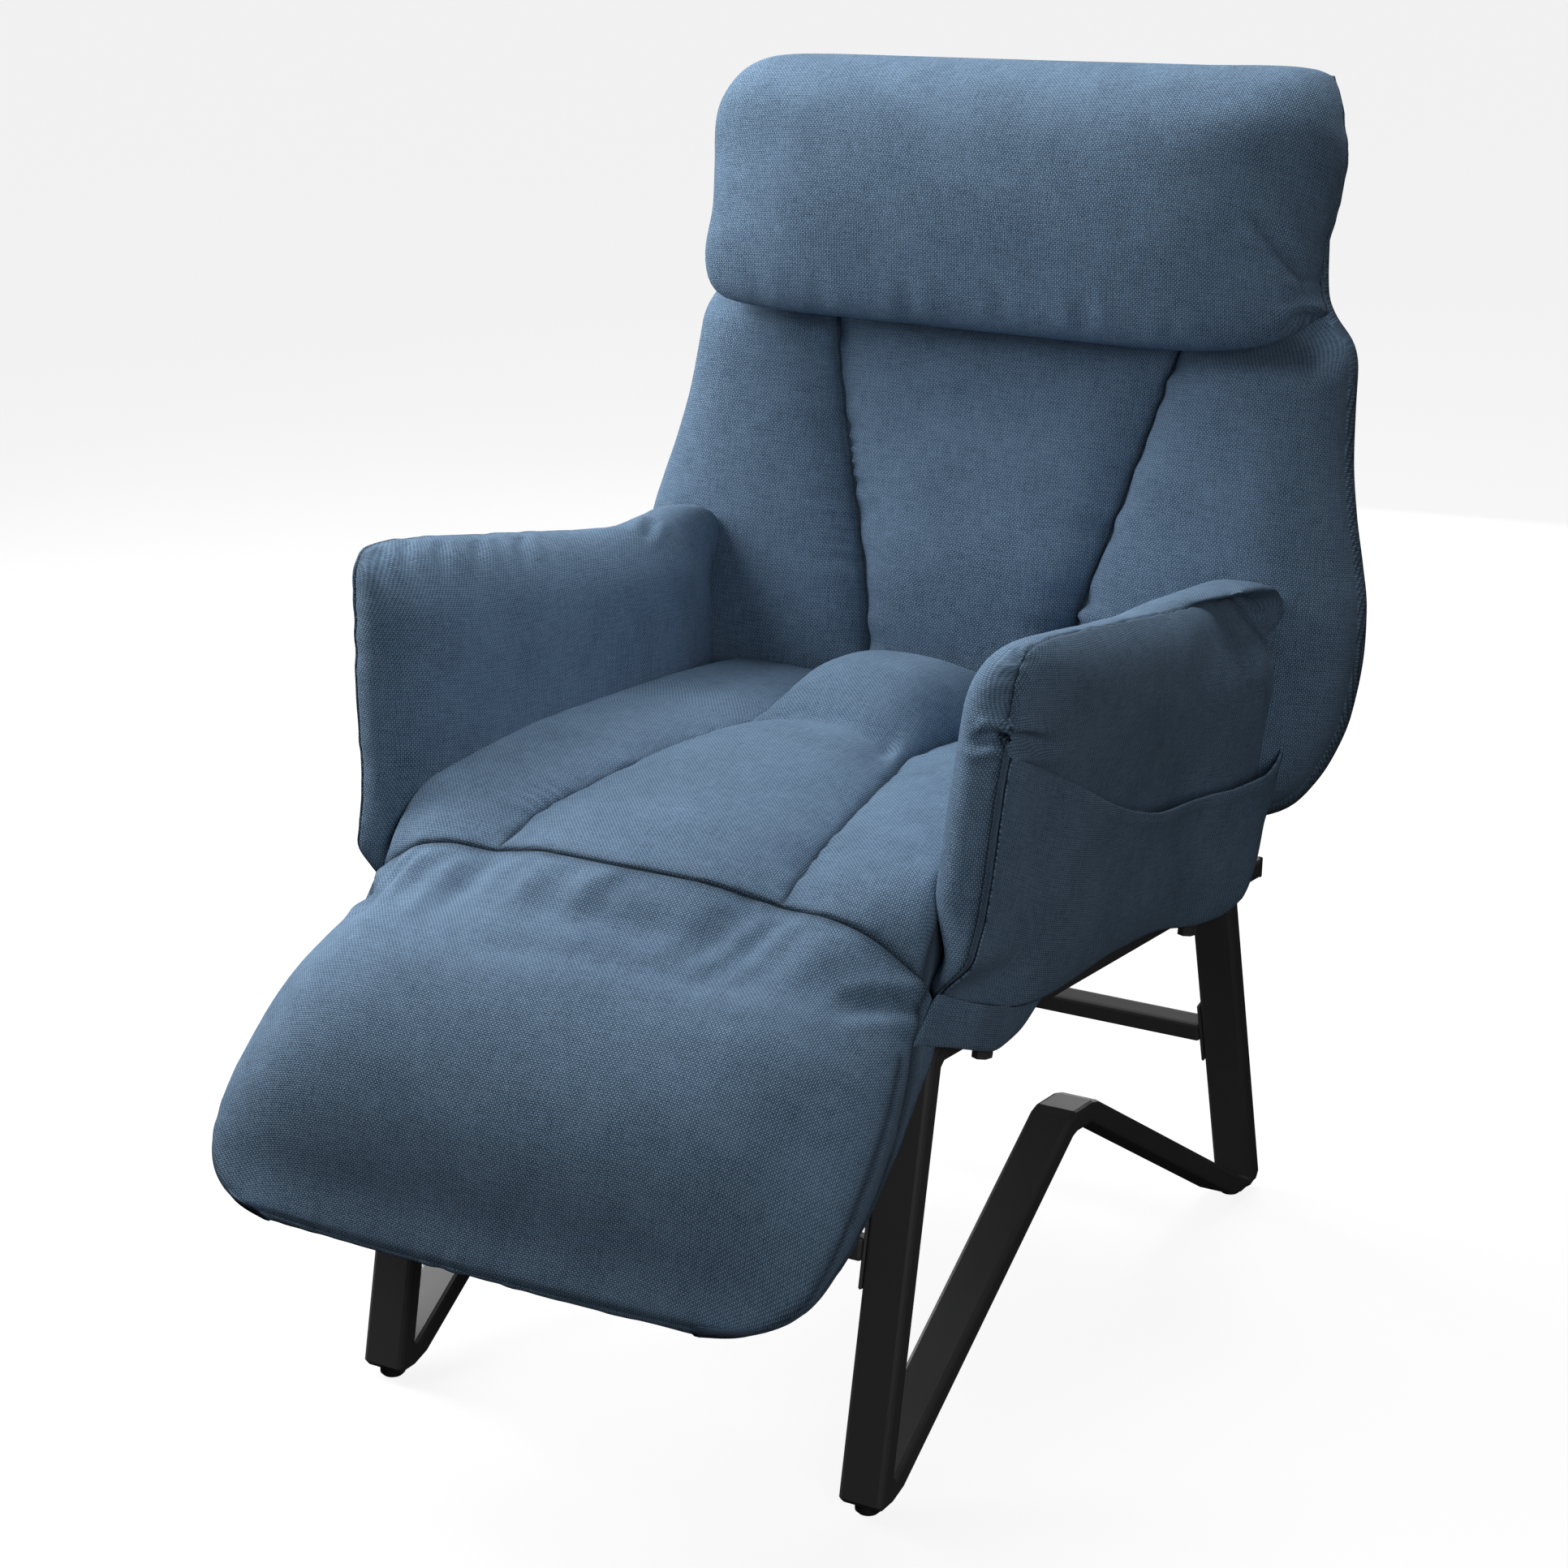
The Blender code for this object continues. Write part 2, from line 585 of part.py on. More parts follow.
for side, sx in SIDES:
    pad = side_shape("arm_cushion_" + side, [arm_profile], sx * ARM_IN, sx * ARM_OUT)
    lean_out(pad, sx)
    bevel(pad, 0.016, 3)
    recess = side_shape("arm_recess_" + side,
                        [[(0.114, 0.30), (0.546, 0.30), (0.546, 0.612), (0.114, 0.652)]],
                        sx * (ARM_TUBE_X - ARM_TUBE_R - 0.0008), sx * (ARM_OUT + 0.01))
    lean_out(recess, sx)
    as_cutter(recess)
    recess.parent = origin
    boolean(pad, recess)
    finish(pad, FABRIC)

    # bent round tube inside the arm, bolted to the side of the rail at both feet
    feet = [rail_under(y) + half - 0.014 for y in ARM_BOLT_Y]
    path = rounded_path([(sx * ARM_TUBE_X, ARM_BOLT_Y[0], feet[0]), (sx * ARM_TUBE_X, ARM_BOLT_Y[0], 0.635),
                         (sx * ARM_TUBE_X, ARM_BOLT_Y[1], 0.595), (sx * ARM_TUBE_X, ARM_BOLT_Y[1], feet[1])],
                        0.045, closed=False)
    loop = tube("arm_frame_" + side, path, ARM_TUBE_R, False)
    lean_out(loop, sx)
    bolt_holes = []
    for by in ARM_BOLT_Y:
        bz = rail_under(by) + half
        bolt_holes.append(((sx * 0.24, by, bz), (sx * 0.2725, by, bz), 0.0044))
    drill = as_cutter(rods("arm_frame_holes_" + side, bolt_holes, 12))
    drill.parent = origin
    boolean(loop, drill)
    finish(loop, POWDER)
    for where, by in zip(("front", "rear"), ARM_BOLT_Y):
        bz = rail_under(by) + half
        bolt("arm_bolt_%s_%s" % (where, side), (sx * (LEG_X - TUBE_W / 2 - GAP), by, bz), (-sx, 0, 0),
             0.0075, 0.0048, 0.0040, 0.0540, STEEL)

    panel = side_shape("arm_outer_panel_" + side, [panel_profile], sx * (ARM_OUT + GAP), sx * (ARM_OUT + GAP + 0.007))
    lean_out(panel, sx)
    bevel(panel, 0.0022, 1, 50)
    finish(panel, FABRIC)

    # sewn-on side pocket, open along its upper lip
    x_in = ARM_OUT + 2 * GAP + 0.007
    pocket = side_shape("side_pocket_" + side, [pocket_profile], sx * x_in, sx * POCKET_OUT)
    space = side_shape("pocket_space_" + side, [pocket_space], sx * (x_in - 0.01), sx * (POCKET_OUT - 0.003))
    lean_out(pocket, sx)
    lean_out(space, sx)
    as_cutter(space)
    space.parent = origin
    boolean(pocket, space)
    finish(pocket, FABRIC)

# ------------------------------------------------------------------------ back
# local axes of the back: x across, second up along the back, third forward
back_plane = turned_about_x(math.pi / 2 - BACK_LEAN)


def back_yz(t, b):
    """Side-view point of the back: t up along it from the pivot, b behind the pivot plane."""
    return (t * math.sin(BACK_LEAN) + b * math.cos(BACK_LEAN),
            t * math.cos(BACK_LEAN) - b * math.sin(BACK_LEAN))


def back_point(x, t, b):
    y, z = back_yz(t, b)
    return Vector((x, y, z))


back_half = [(0.222, 0.0225), (0.240, -0.014), (0.298, -0.014), (0.332, 0.030), (0.356, 0.100), (0.361, 0.170),
             (0.351, 0.260), (0.332, 0.360), (0.304, 0.470), (0.272, 0.606)]
back_outline = back_half + [(-x, t) for x, t in reversed(back_half)]
back_profile = [(-0.014, 0.004), (-0.014, BACK_REAR), (0.606, BACK_REAR), (0.606, 0.021),
                (0.400, BACK_FRONT), (0.090, BACK_FRONT), (0.030, BACK_FRONT + 0.008)]
back_pad = side_shape("back_cushion", [[back_yz(t, b) for t, b in back_profile]], -0.40, 0.40)
shape = as_cutter(outline("back_shape", [back_outline], 0.4, back_plane))
shape.parent = back_axis
boolean(back_pad, shape, "INTERSECT")
# the wings thin out towards their edge seams
wing_half = [(0.326, BACK_FRONT - 0.01), (0.364, -0.006), (0.364, 0.012), (0.286, BACK_REAR + 0.002)]
wing = wing_half + [(-x, b) for x, b in reversed(wing_half)]
wings = as_cutter(outline("back_wings", [wing], 1.6, turned_about_x(-BACK_LEAN)))
wings.parent = back_axis
boolean(back_pad, wings, "INTERSECT")
bevel(back_pad, 0.014, 2, 25)
recess = as_cutter(box("back_recess", (-0.203, -0.10, -0.2), (0.203, 0.588, -0.0455), back_plane))
recess.parent = back_axis
boolean(back_pad, recess)
finish(back_pad, FABRIC, back_axis)

BACK_TUBE_R = 0.010
BACK_TUBE_X = 0.1849
BACK_TUBE_B = 0.0598
back_frame = tube("back_frame",
                  rounded_path([back_point(x, t, BACK_TUBE_B) for x, t in
                                ((BACK_TUBE_X, 0.045), (BACK_TUBE_X, 0.572), (-BACK_TUBE_X, 0.572), (-BACK_TUBE_X, 0.045))],
                               0.050), BACK_TUBE_R, True)
finish(back_frame, POWDER, back_axis)

for n, t in enumerate((0.210, 0.400), 1):
    strap = box("back_strap_%d" % n, (-0.190, t - 0.030, -0.0492), (0.190, t + 0.030, -0.0468), back_plane)
    finish(strap, WEBBING, back_axis, smooth=False)

panel_half = [(0.216, 0.034), (0.246, 0.040), (0.268, 0.070), (0.270, 0.170), (0.264, 0.360), (0.254, 0.470), (0.240, 0.592)]
rear_panel = outline("back_rear_panel", [panel_half + [(-x, t) for x, t in reversed(panel_half)]], 0.006,
                     back_plane @ Matrix.Translation((0.0, 0.0, -0.0733)))
bevel(rear_panel, 0.002, 1, 50)
finish(rear_panel, FABRIC, back_axis)

# recline hinges: toothed ear on the seat frame, arm on the back frame, pin between them
REAR_FACE = SEAT_Y[1] + 0.0012
HUB = 0.018
for side, sx in SIDES:
    py, pz = BACK_PIVOT
    teeth = []
    for k in range(0, 29):
        a = -20.0 + 200.0 * k / 28
        r = HUB if k % 2 else HUB - 0.0018
        teeth.append((py + r * math.cos(math.radians(a)), pz + r * math.sin(math.radians(a))))
    ear_loop = [(REAR_FACE, 0.3580)] + [(REAR_FACE + 0.026, 0.3580), (REAR_FACE + 0.034, 0.4200)] + teeth
    ear = side_shape("recline_ear_" + side, [ear_loop], sx * 0.2000, sx * 0.2040)
    flange = as_cutter(box("recline_flange_" + side, (min(sx * 0.166, sx * 0.204), REAR_FACE, 0.3580),
                           (max(sx * 0.166, sx * 0.204), REAR_FACE + 0.004, 0.3795)))
    flange.parent = origin
    boolean(ear, flange, "UNION")
    hole = as_cutter(rods("recline_ear_hole_" + side, [((sx * 0.19, py, pz), (sx * 0.22, py, pz), 0.0054)], 16))
    hole.parent = origin
    boolean(ear, hole)
    finish(ear, STEEL)

    arm_loop = ([back_yz(HUB * math.cos(math.radians(a)), HUB * math.sin(math.radians(a)))
                 for a in (0, -30, -60, -90, -120, -150, -180)]
                + [back_yz(-0.014, 0.048), back_yz(-0.004, 0.0690), back_yz(0.170, 0.0690), back_yz(0.170, 0.0505),
                   back_yz(0.026, 0.0505), back_yz(0.016, 0.040)])
    arm = side_shape("recline_arm_" + side, [arm_loop], sx * 0.1955, sx * 0.1995)
    hole = as_cutter(rods("recline_arm_hole_" + side, [((sx * 0.18, 0, 0), (sx * 0.21, 0, 0), 0.0054)], 16))
    hole.parent = back_axis
    boolean(arm, hole)
    finish(arm, STEEL, back_axis)

    pin = turned("recline_pin_" + side,
                 [(0.0, 0.0032), (0.0070, 0.0032), (0.0090, 0.0012), (0.0090, 0.0), (0.0050, 0.0),
                  (0.0050, -0.0115), (0.0, -0.0115)], (sx * (0.2040 + GAP), py, pz), (sx, 0, 0), 16)
    finish(pin, STEEL)

# ------------------------------------------------------------------- foot rest
# local axes: x across, second down along the foot rest, third out of its padded face
fc, fs = math.cos(FOOT_HANG), math.sin(FOOT_HANG)


def foot_yz(s, n):
    """Side-view point of the foot rest: s along it from the pivot, n towards its padded face."""
    return (-s * fc - n * fs, -s * fs + n * fc)


# second local axis up along the foot rest, so distances along it are negative
foot_plane = Matrix(((1, 0, 0, 0), (0, fc, -fs, 0), (0, fs, fc, 0), (0, 0, 0, 1)))

FOOT_LEN = 0.286
FOOT_TOP = 0.092
corner = 0.052


def corner_arc(cx, cs, r, a0, a1, n=5):
    return [(cx + r * math.cos(math.radians(a0 + (a1 - a0) * k / n)),
             cs + r * math.sin(math.radians(a0 + (a1 - a0) * k / n))) for k in range(n + 1)]


foot_half = [(0.262, 0.004)] + [(x, -s) for x, s in
                                corner_arc(0.285 - corner, FOOT_LEN - corner, corner, 0, 90)]
foot_pad_outline = foot_half + [(-x, v) for x, v in reversed(foot_half)]
foot_profile = [(-0.004, -0.009), (FOOT_LEN - 0.010, -0.009), (FOOT_LEN, 0.006), (FOOT_LEN, 0.024),
                (0.226, 0.046), (0.115, 0.076), (0.030, FOOT_TOP), (-0.004, FOOT_TOP - 0.004)]
foot_pad = side_shape("footrest_cushion", [[foot_yz(s, n) for s, n in foot_profile]], -0.30, 0.30)
shape = as_cutter(outline("footrest_shape", [foot_pad_outline], 0.4, foot_plane))
shape.parent = foot_axis
boolean(foot_pad, shape, "INTERSECT")
# the sides slope in towards the underside
slope = [(0.236, -0.012), (0.288, 0.036), (0.288, 0.130), (-0.288, 0.130), (-0.288, 0.036), (-0.236, -0.012)]
sides = as_cutter(outline("footrest_sides", [slope], 1.0, foot_plane @ Matrix.Rotation(math.pi / 2, 4, "X")))
sides.parent = foot_axis
boolean(foot_pad, sides, "INTERSECT")
bevel(foot_pad, 0.010, 2, 40)
recess = as_cutter(box("footrest_recess", (-0.222, -0.266, -0.05), (0.222, 0.05, 0.0175), foot_plane))
recess.parent = foot_axis
boolean(foot_pad, recess)
finish(foot_pad, FABRIC, foot_axis)

FOOT_TUBE_R = 0.009
FOOT_TUBE_X = 0.2050
foot_frame = tube("footrest_frame",
                  rounded_path([(x, *foot_yz(s, 0.0)) for x, s in
                                ((FOOT_TUBE_X, 0.024), (FOOT_TUBE_X, 0.250), (-FOOT_TUBE_X, 0.250), (-FOOT_TUBE_X, 0.024))],
                               0.030, closed=False), FOOT_TUBE_R, False)
finish(foot_frame, POWDER, foot_axis)

under_half = [(0.230, -0.046)] + [(x, -s) for x, s in corner_arc(0.230 - 0.04, 0.270 - 0.04, 0.04, 0, 90)]
under = outline("footrest_under_panel", [under_half + [(-x, v) for x, v in reversed(under_half)]], 0.006,
                foot_plane @ Matrix.Translation((0.0, 0.0, -0.0123)))
bevel(under, 0.002, 1, 50)
finish(under, FABRIC, foot_axis)

FRONT_FACE = SEAT_Y[0] - 0.0008
FHUB = 0.0115
for side, sx in SIDES:
    py, pz = FOOT_PIVOT
    teeth = []
    for k in range(0, 25):
        a = 60.0 + 230.0 * k / 24
        r = FHUB if k % 2 else FHUB - 0.0012
        teeth.append((py + r * math.cos(math.radians(a)), pz + r * math.sin(math.radians(a))))
    ear_loop = teeth + [(FRONT_FACE, 0.3875), (FRONT_FACE, 0.4080)]
    ear = side_shape("footrest_ear_" + side, [ear_loop], sx * 0.1874, sx * 0.1914)
    flange = as_cutter(box("footrest_flange_" + side, (min(sx * 0.1874, sx * 0.220), FRONT_FACE - 0.004, 0.3875),
                           (max(sx * 0.1874, sx * 0.220), FRONT_FACE, 0.4080)))
    flange.parent = origin
    boolean(ear, flange, "UNION")
    hole = as_cutter(rods("footrest_ear_hole_" + side, [((sx * 0.18, py, pz), (sx * 0.2, py, pz), 0.0044)], 16))
    hole.parent = origin
    boolean(ear, hole)
    finish(ear, STEEL)

    arm_loop = ([foot_yz(FHUB * math.cos(math.radians(a)), FHUB * math.sin(math.radians(a)))
                 for a in range(90, 271, 20)]
                + [foot_yz(0.024, -0.0085), foot_yz(0.100, -0.0085), foot_yz(0.100, 0.0085), foot_yz(0.024, 0.0085)])
    arm = side_shape("footrest_arm_" + side, [arm_loop], sx * 0.1917, sx * 0.1957)
    hole = as_cutter(rods("footrest_arm_hole_" + side, [((sx * 0.18, 0, 0), (sx * 0.21, 0, 0), 0.0044)], 16))
    hole.parent = foot_axis
    boolean(arm, hole)
    finish(arm, STEEL, foot_axis)

    pin = turned("footrest_pin_" + side,
                 [(0.0, 0.0028), (0.0050, 0.0028), (0.0070, 0.0010), (0.0070, 0.0), (0.0040, 0.0),
                  (0.0040, -0.0100), (0.0, -0.0100)], (sx * (0.1874 - GAP), py, pz), (-sx, 0, 0), 16)
    finish(pin, STEEL)

# ------------------------------------------------------------------ head pillow
HEAD_X = 0.288
head_profile = [(0.668, 0.829), (0.752, 1.036), (0.762, 1.050), (0.752, 1.062), (0.662, 1.063),
                (0.636, 1.040), (0.618, 0.960), (0.612, 0.862), (0.630, 0.834)]
pillow = side_shape("headrest_pillow", [head_profile], -HEAD_X, HEAD_X, HEAD_PIVOT)
bevel(pillow, 0.012, 2, 50)
finish(pillow, FABRIC, head_axis)
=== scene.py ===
import json
import math

import bmesh
import bpy
import numpy as np
from mathutils import Matrix, Vector


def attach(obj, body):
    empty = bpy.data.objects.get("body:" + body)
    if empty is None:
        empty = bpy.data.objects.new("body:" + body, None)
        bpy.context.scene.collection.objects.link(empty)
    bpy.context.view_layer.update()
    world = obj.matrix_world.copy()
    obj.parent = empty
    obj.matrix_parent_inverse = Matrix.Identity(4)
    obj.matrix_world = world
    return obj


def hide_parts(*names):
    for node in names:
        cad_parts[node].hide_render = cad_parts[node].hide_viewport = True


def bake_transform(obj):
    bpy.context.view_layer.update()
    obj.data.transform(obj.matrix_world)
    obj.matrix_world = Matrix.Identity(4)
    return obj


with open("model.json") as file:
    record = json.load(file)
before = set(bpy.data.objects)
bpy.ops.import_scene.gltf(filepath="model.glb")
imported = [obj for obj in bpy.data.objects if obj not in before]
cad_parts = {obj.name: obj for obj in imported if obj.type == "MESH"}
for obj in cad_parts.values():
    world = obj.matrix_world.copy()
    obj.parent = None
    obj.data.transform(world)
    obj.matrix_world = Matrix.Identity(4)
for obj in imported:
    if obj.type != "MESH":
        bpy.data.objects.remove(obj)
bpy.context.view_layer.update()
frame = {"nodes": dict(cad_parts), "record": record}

nodes = frame["nodes"]
scene = bpy.context.scene

# Side-view figures are (y, z) with y from the front foot; YM shifts them to the frame.
YM = 0.3195


# --------------------------------------------------------------------- helpers
def curve(points):
    """Smooth monotone interpolation through (a, b) points."""
    p = np.array(sorted(points), float)
    x, y = p[:, 0], p[:, 1]
    h = np.diff(x)
    s = np.diff(y) / h
    m = np.zeros(len(x))
    m[0], m[-1] = s[0], s[-1]
    for i in range(1, len(x) - 1):
        if s[i - 1] * s[i] > 0:
            w1, w2 = 2 * h[i] + h[i - 1], h[i] + 2 * h[i - 1]
            m[i] = (w1 + w2) / (w1 / s[i - 1] + w2 / s[i])

    def f(q):
        q = np.asarray(q, float)
        c = np.clip(q, x[0], x[-1])
        k = np.clip(np.searchsorted(x, c) - 1, 0, len(h) - 1)
        t = (c - x[k]) / h[k]
        v = ((2 * t ** 3 - 3 * t ** 2 + 1) * y[k] + (t ** 3 - 2 * t ** 2 + t) * h[k] * m[k]
             + (-2 * t ** 3 + 3 * t ** 2) * y[k + 1] + (t ** 3 - t ** 2) * h[k] * m[k + 1])
        return v + np.where(q < x[0], (q - x[0]) * m[0], 0) + np.where(q > x[-1], (q - x[-1]) * m[-1], 0)
    return f


def smooth(t):
    t = np.clip(t, 0, 1)
    return t * t * (3 - 2 * t)


def span(a, b, n, d0=False, d1=False):
    """n steps from a to b, closer together at the marked ends."""
    k = np.linspace(0, 1, n + 1)
    if d0 and d1:
        s = 0.35 * k + 0.65 * (0.5 - 0.5 * np.cos(np.pi * k))
    elif d0:
        s = 0.35 * k + 0.65 * (1 - np.cos(np.pi / 2 * k))
    elif d1:
        s = 0.35 * k + 0.65 * np.sin(np.pi / 2 * k)
    else:
        s = k
    return a + (b - a) * s


def edge(a, r, n, inward=1):
    """Steps round an edge of radius r that starts at a; the first lies close to the seam."""
    ang = np.concatenate([[0.0], np.radians(4.5) + (np.pi / 2 - np.radians(4.5)) * np.linspace(0, 1, n + 1)])
    return a + inward * r * (1 - np.cos(ang))


def join(*parts):
    out = [parts[0]]
    for p in parts[1:]:
        out.append(p[1:])
    return np.concatenate(out)


def rise(d, r):
    """Height, 0 to 1, of a rounded edge at distance d from it."""
    return np.sqrt(np.clip(1 - (1 - np.clip(d / r, 0, 1)) ** 2, 0, 1))


def overhang(d, r):
    """How far a rounded edge stands out at distance d, 0 to 1."""
    a = np.arccos(np.clip(1 - np.clip(d / r, 0, 1), 0, 1))
    return np.sin(2 * a) * np.cos(a) * 1.3


def wave(*terms):
    """Sum of sines: (amplitude, frequency, phase) along a length."""
    def f(s):
        return sum(a * np.sin(w * s + p) for a, w, p in terms)
    return f


def hash_noise(x, y, seed=0.0):
    v = np.sin(x * 127.1 + y * 311.7 + seed * 74.7) * 43758.5453
    return v - np.floor(v)


def noise2(x, y, seed=0.0):
    """Smooth value noise, -1 to 1."""
    xi, yi = np.floor(x), np.floor(y)
    fx, fy = x - xi, y - yi
    fx, fy = fx * fx * fx * (fx * (fx * 6 - 15) + 10), fy * fy * fy * (fy * (fy * 6 - 15) + 10)
    a, b = hash_noise(xi, yi, seed), hash_noise(xi + 1, yi, seed)
    c, d = hash_noise(xi, yi + 1, seed), hash_noise(xi + 1, yi + 1, seed)
    return 2 * ((a + (b - a) * fx) * (1 - fy) + (c + (d - c) * fx) * fy) - 1


def to_line(px, py, line):
    """Distance of points from a polyline, and the length along it of the nearest point."""
    best = np.full(np.shape(px), 1e9)
    along = np.zeros(np.shape(px))
    start = 0.0
    for (ax, ay), (bx, by) in zip(line, line[1:]):
        dx, dy = bx - ax, by - ay
        ln = math.hypot(dx, dy)
        t = np.clip(((px - ax) * dx + (py - ay) * dy) / ln ** 2, 0, 1)
        d = np.hypot(px - ax - t * dx, py - ay - t * dy)
        near = d < best
        best = np.where(near, d, best)
        along = np.where(near, start + t * ln, along)
        start += ln
    return best, along


def dense(line, step=0.006):
    """A smooth curve through a few points, as many short steps."""
    p = np.array(line, float)
    s = np.concatenate([[0], np.cumsum(np.hypot(*np.diff(p, axis=0).T))])
    q = np.linspace(0, s[-1], max(8, int(s[-1] / step)))
    fx, fy = curve(list(zip(s, p[:, 0]))), curve(list(zip(s, p[:, 1])))
    return list(zip(fx(q), fy(q)))


class Skin:
    """A mesh put together from grids of points that share their seams."""

    def __init__(self):
        self.co, self.faces, self.uv, self.pin = [], [], [], []

    def points(self, p, pin=0.0):
        start = len(self.co)
        p = np.asarray(p, float).reshape(-1, 3)
        self.co.extend(p.tolist())
        self.pin.extend(np.broadcast_to(np.asarray(pin, float).ravel(), (len(p),)).tolist())
        return np.arange(start, start + len(p))

    def grid(self, ids, uv, flip=False):
        n, m = ids.shape
        for i in range(n - 1):
            for j in range(m - 1):
                c = [(i, j), (i + 1, j), (i + 1, j + 1), (i, j + 1)]
                if flip:
                    c.reverse()
                self.faces.append([int(ids[k]) for k in c])
                self.uv.append([tuple(uv[k]) for k in c])

    def object(self, name):
        me = bpy.data.meshes.new(name)
        me.from_pydata(self.co, [], self.faces)
        layer = me.uv_layers.new(name="cloth")
        flat = np.array([c for f in self.uv for c in f], np.float32).ravel()
        layer.data.foreach_set("uv", flat)
        me.validate()
        o = bpy.data.objects.new(name, me)
        scene.collection.objects.link(o)
        return o


def cloth_uv(p):
    """Lengths along a grid's rows and columns from its middle, in metres."""
    n, m = p.shape[:2]
    du = np.linalg.norm(np.diff(p, axis=0), axis=2)
    dv = np.linalg.norm(np.diff(p, axis=1), axis=2)
    u = np.concatenate([np.zeros((1, m)), np.cumsum(du, axis=0)])
    v = np.concatenate([np.zeros((n, 1)), np.cumsum(dv, axis=1)], axis=1)
    u -= u[n // 2:n // 2 + 1]
    v -= v[:, m // 2:m // 2 + 1]
    return np.stack([u, v], -1)


def ring(n, m):
    r = np.zeros((n, m), bool)
    r[0], r[-1], r[:, 0], r[:, -1] = True, True, True, True
    return r


def pad(name, front, back, seam=None, pin_front=None, pin_back=None):
    """A closed pad: two grids of points that share their border, which is its seam."""
    sk = Skin()
    n, m = front.shape[:2]
    r = ring(n, m)
    pf = np.zeros((n, m)) if pin_front is None else pin_front.copy()
    if seam is not None:
        pf[seam] = 1.0
    pf[r] = 1.0
    ids = sk.points(front, pf).reshape(n, m)
    sk.grid(ids, cloth_uv(front))
    ids2 = ids.copy()
    pb = np.zeros((n, m)) if pin_back is None else pin_back
    ids2[~r] = sk.points(back[~r], pb[~r])
    both = back.copy()
    both[r] = front[r]
    sk.grid(ids2, cloth_uv(both) + np.array([3.17, 1.13]), flip=True)
    o = sk.object(name)
    bm = bmesh.new()
    bm.from_mesh(o.data)
    bmesh.ops.recalc_face_normals(bm, faces=bm.faces)
    bm.to_mesh(o.data)
    bm.free()
    mark = np.zeros(len(sk.co), np.float32)
    mark[ids[r]] = 1.0
    if seam is not None:
        mark[ids[seam]] = 1.0
    mark_seams(o, mark)
    return o, np.array(sk.pin)


def mark_seams(o, mark):
    """Keeps which points lie on seams, and holds the edges along them sharp."""
    me = o.data
    me.attributes.new("seam", "FLOAT", "POINT").data.foreach_set("value", mark.astype(np.float32))
    ev = np.zeros(len(me.edges) * 2, np.int32)
    me.edges.foreach_get("vertices", ev)
    ev = ev.reshape(-1, 2)
    hard = ((mark[ev[:, 0]] > 0.9) & (mark[ev[:, 1]] > 0.9)).astype(np.float32) * 0.85
    me.attributes.new("crease_edge", "FLOAT", "EDGE").data.foreach_set("value", hard)


def coords(o):
    co = np.zeros(len(o.data.vertices) * 3, np.float32)
    o.data.vertices.foreach_get("co", co)
    return co.reshape(-1, 3).astype(float)


def set_coords(o, co):
    o.data.vertices.foreach_set("co", np.asarray(co, np.float32).ravel())
    o.data.update()


def settle(o, move, held, rounds):
    """Evens out a movement over the mesh; the held points stay where they are."""
    ev = np.zeros(len(o.data.edges) * 2, np.int32)
    o.data.edges.foreach_get("vertices", ev)
    a, b, n = ev[0::2], ev[1::2], len(move)
    count = np.bincount(np.concatenate([a, b]), minlength=n).astype(float)
    for _ in range(rounds):
        total = np.stack([np.bincount(a, move[b, k], n) + np.bincount(b, move[a, k], n) for k in range(3)], -1)
        move = np.where(held[:, None], 0.0, 0.4 * move + 0.6 * total / count[:, None])
    return move


def inflate(o, pins, pressure=4.0, slack=0.03, cap=0.022, frames=20, bend=0.6, keep=1.0):
    """Simulates the pad as stuffed cloth with its seams held, and keeps the result."""
    before = coords(o)
    g = o.vertex_groups.new(name="held")
    for w in (0.5, 1.0):
        ids = np.nonzero((pins > w - 0.3) & (pins <= w + 0.2))[0].tolist()
        if ids:
            g.add(ids, w, "REPLACE")
    mod = o.modifiers.new("cloth", "CLOTH")
    s = mod.settings
    s.quality = 5
    s.mass = 0.25
    s.air_damping = 2.0
    s.tension_stiffness = 18
    s.compression_stiffness = 12
    s.shear_stiffness = 6
    s.bending_stiffness = bend
    s.tension_damping = 8
    s.compression_damping = 8
    s.use_pressure = True
    s.uniform_pressure_force = pressure
    s.shrink_min = -slack
    s.shrink_max = -slack
    s.vertex_group_mass = "held"
    s.pin_stiffness = 1.0
    s.effector_weights.gravity = 0.0
    mod.collision_settings.use_collision = False
    mod.collision_settings.use_self_collision = False
    mod.point_cache.frame_start = 1
    mod.point_cache.frame_end = frames
    for f in range(1, frames + 1):
        scene.frame_set(f)
    dg = bpy.context.evaluated_depsgraph_get()
    e = o.evaluated_get(dg)
    me = e.to_mesh()
    after = np.zeros(len(me.vertices) * 3, np.float32)
    me.vertices.foreach_get("co", after)
    after = after.reshape(-1, 3).astype(float)
    e.to_mesh_clear()
    o.modifiers.remove(mod)
    scene.frame_set(1)
    move = (after - before) * keep
    d = np.linalg.norm(move, axis=1, keepdims=True)
    move /= np.sqrt(1 + (d / cap) ** 2)
    move = settle(o, move, pins > 0.9, 24)
    set_coords(o, before + move)
    print("inflated", o.name, len(before), "points, mean move %.1f mm, most %.1f mm"
          % (np.linalg.norm(move, axis=1).mean() * 1000, d.max() * 1000))


def normals(o):
    o.data.update()
    v = np.zeros(len(o.data.vertices) * 3, np.float32)
    o.data.vertices.foreach_get("normal", v)
    return v.reshape(-1, 3).astype(float)


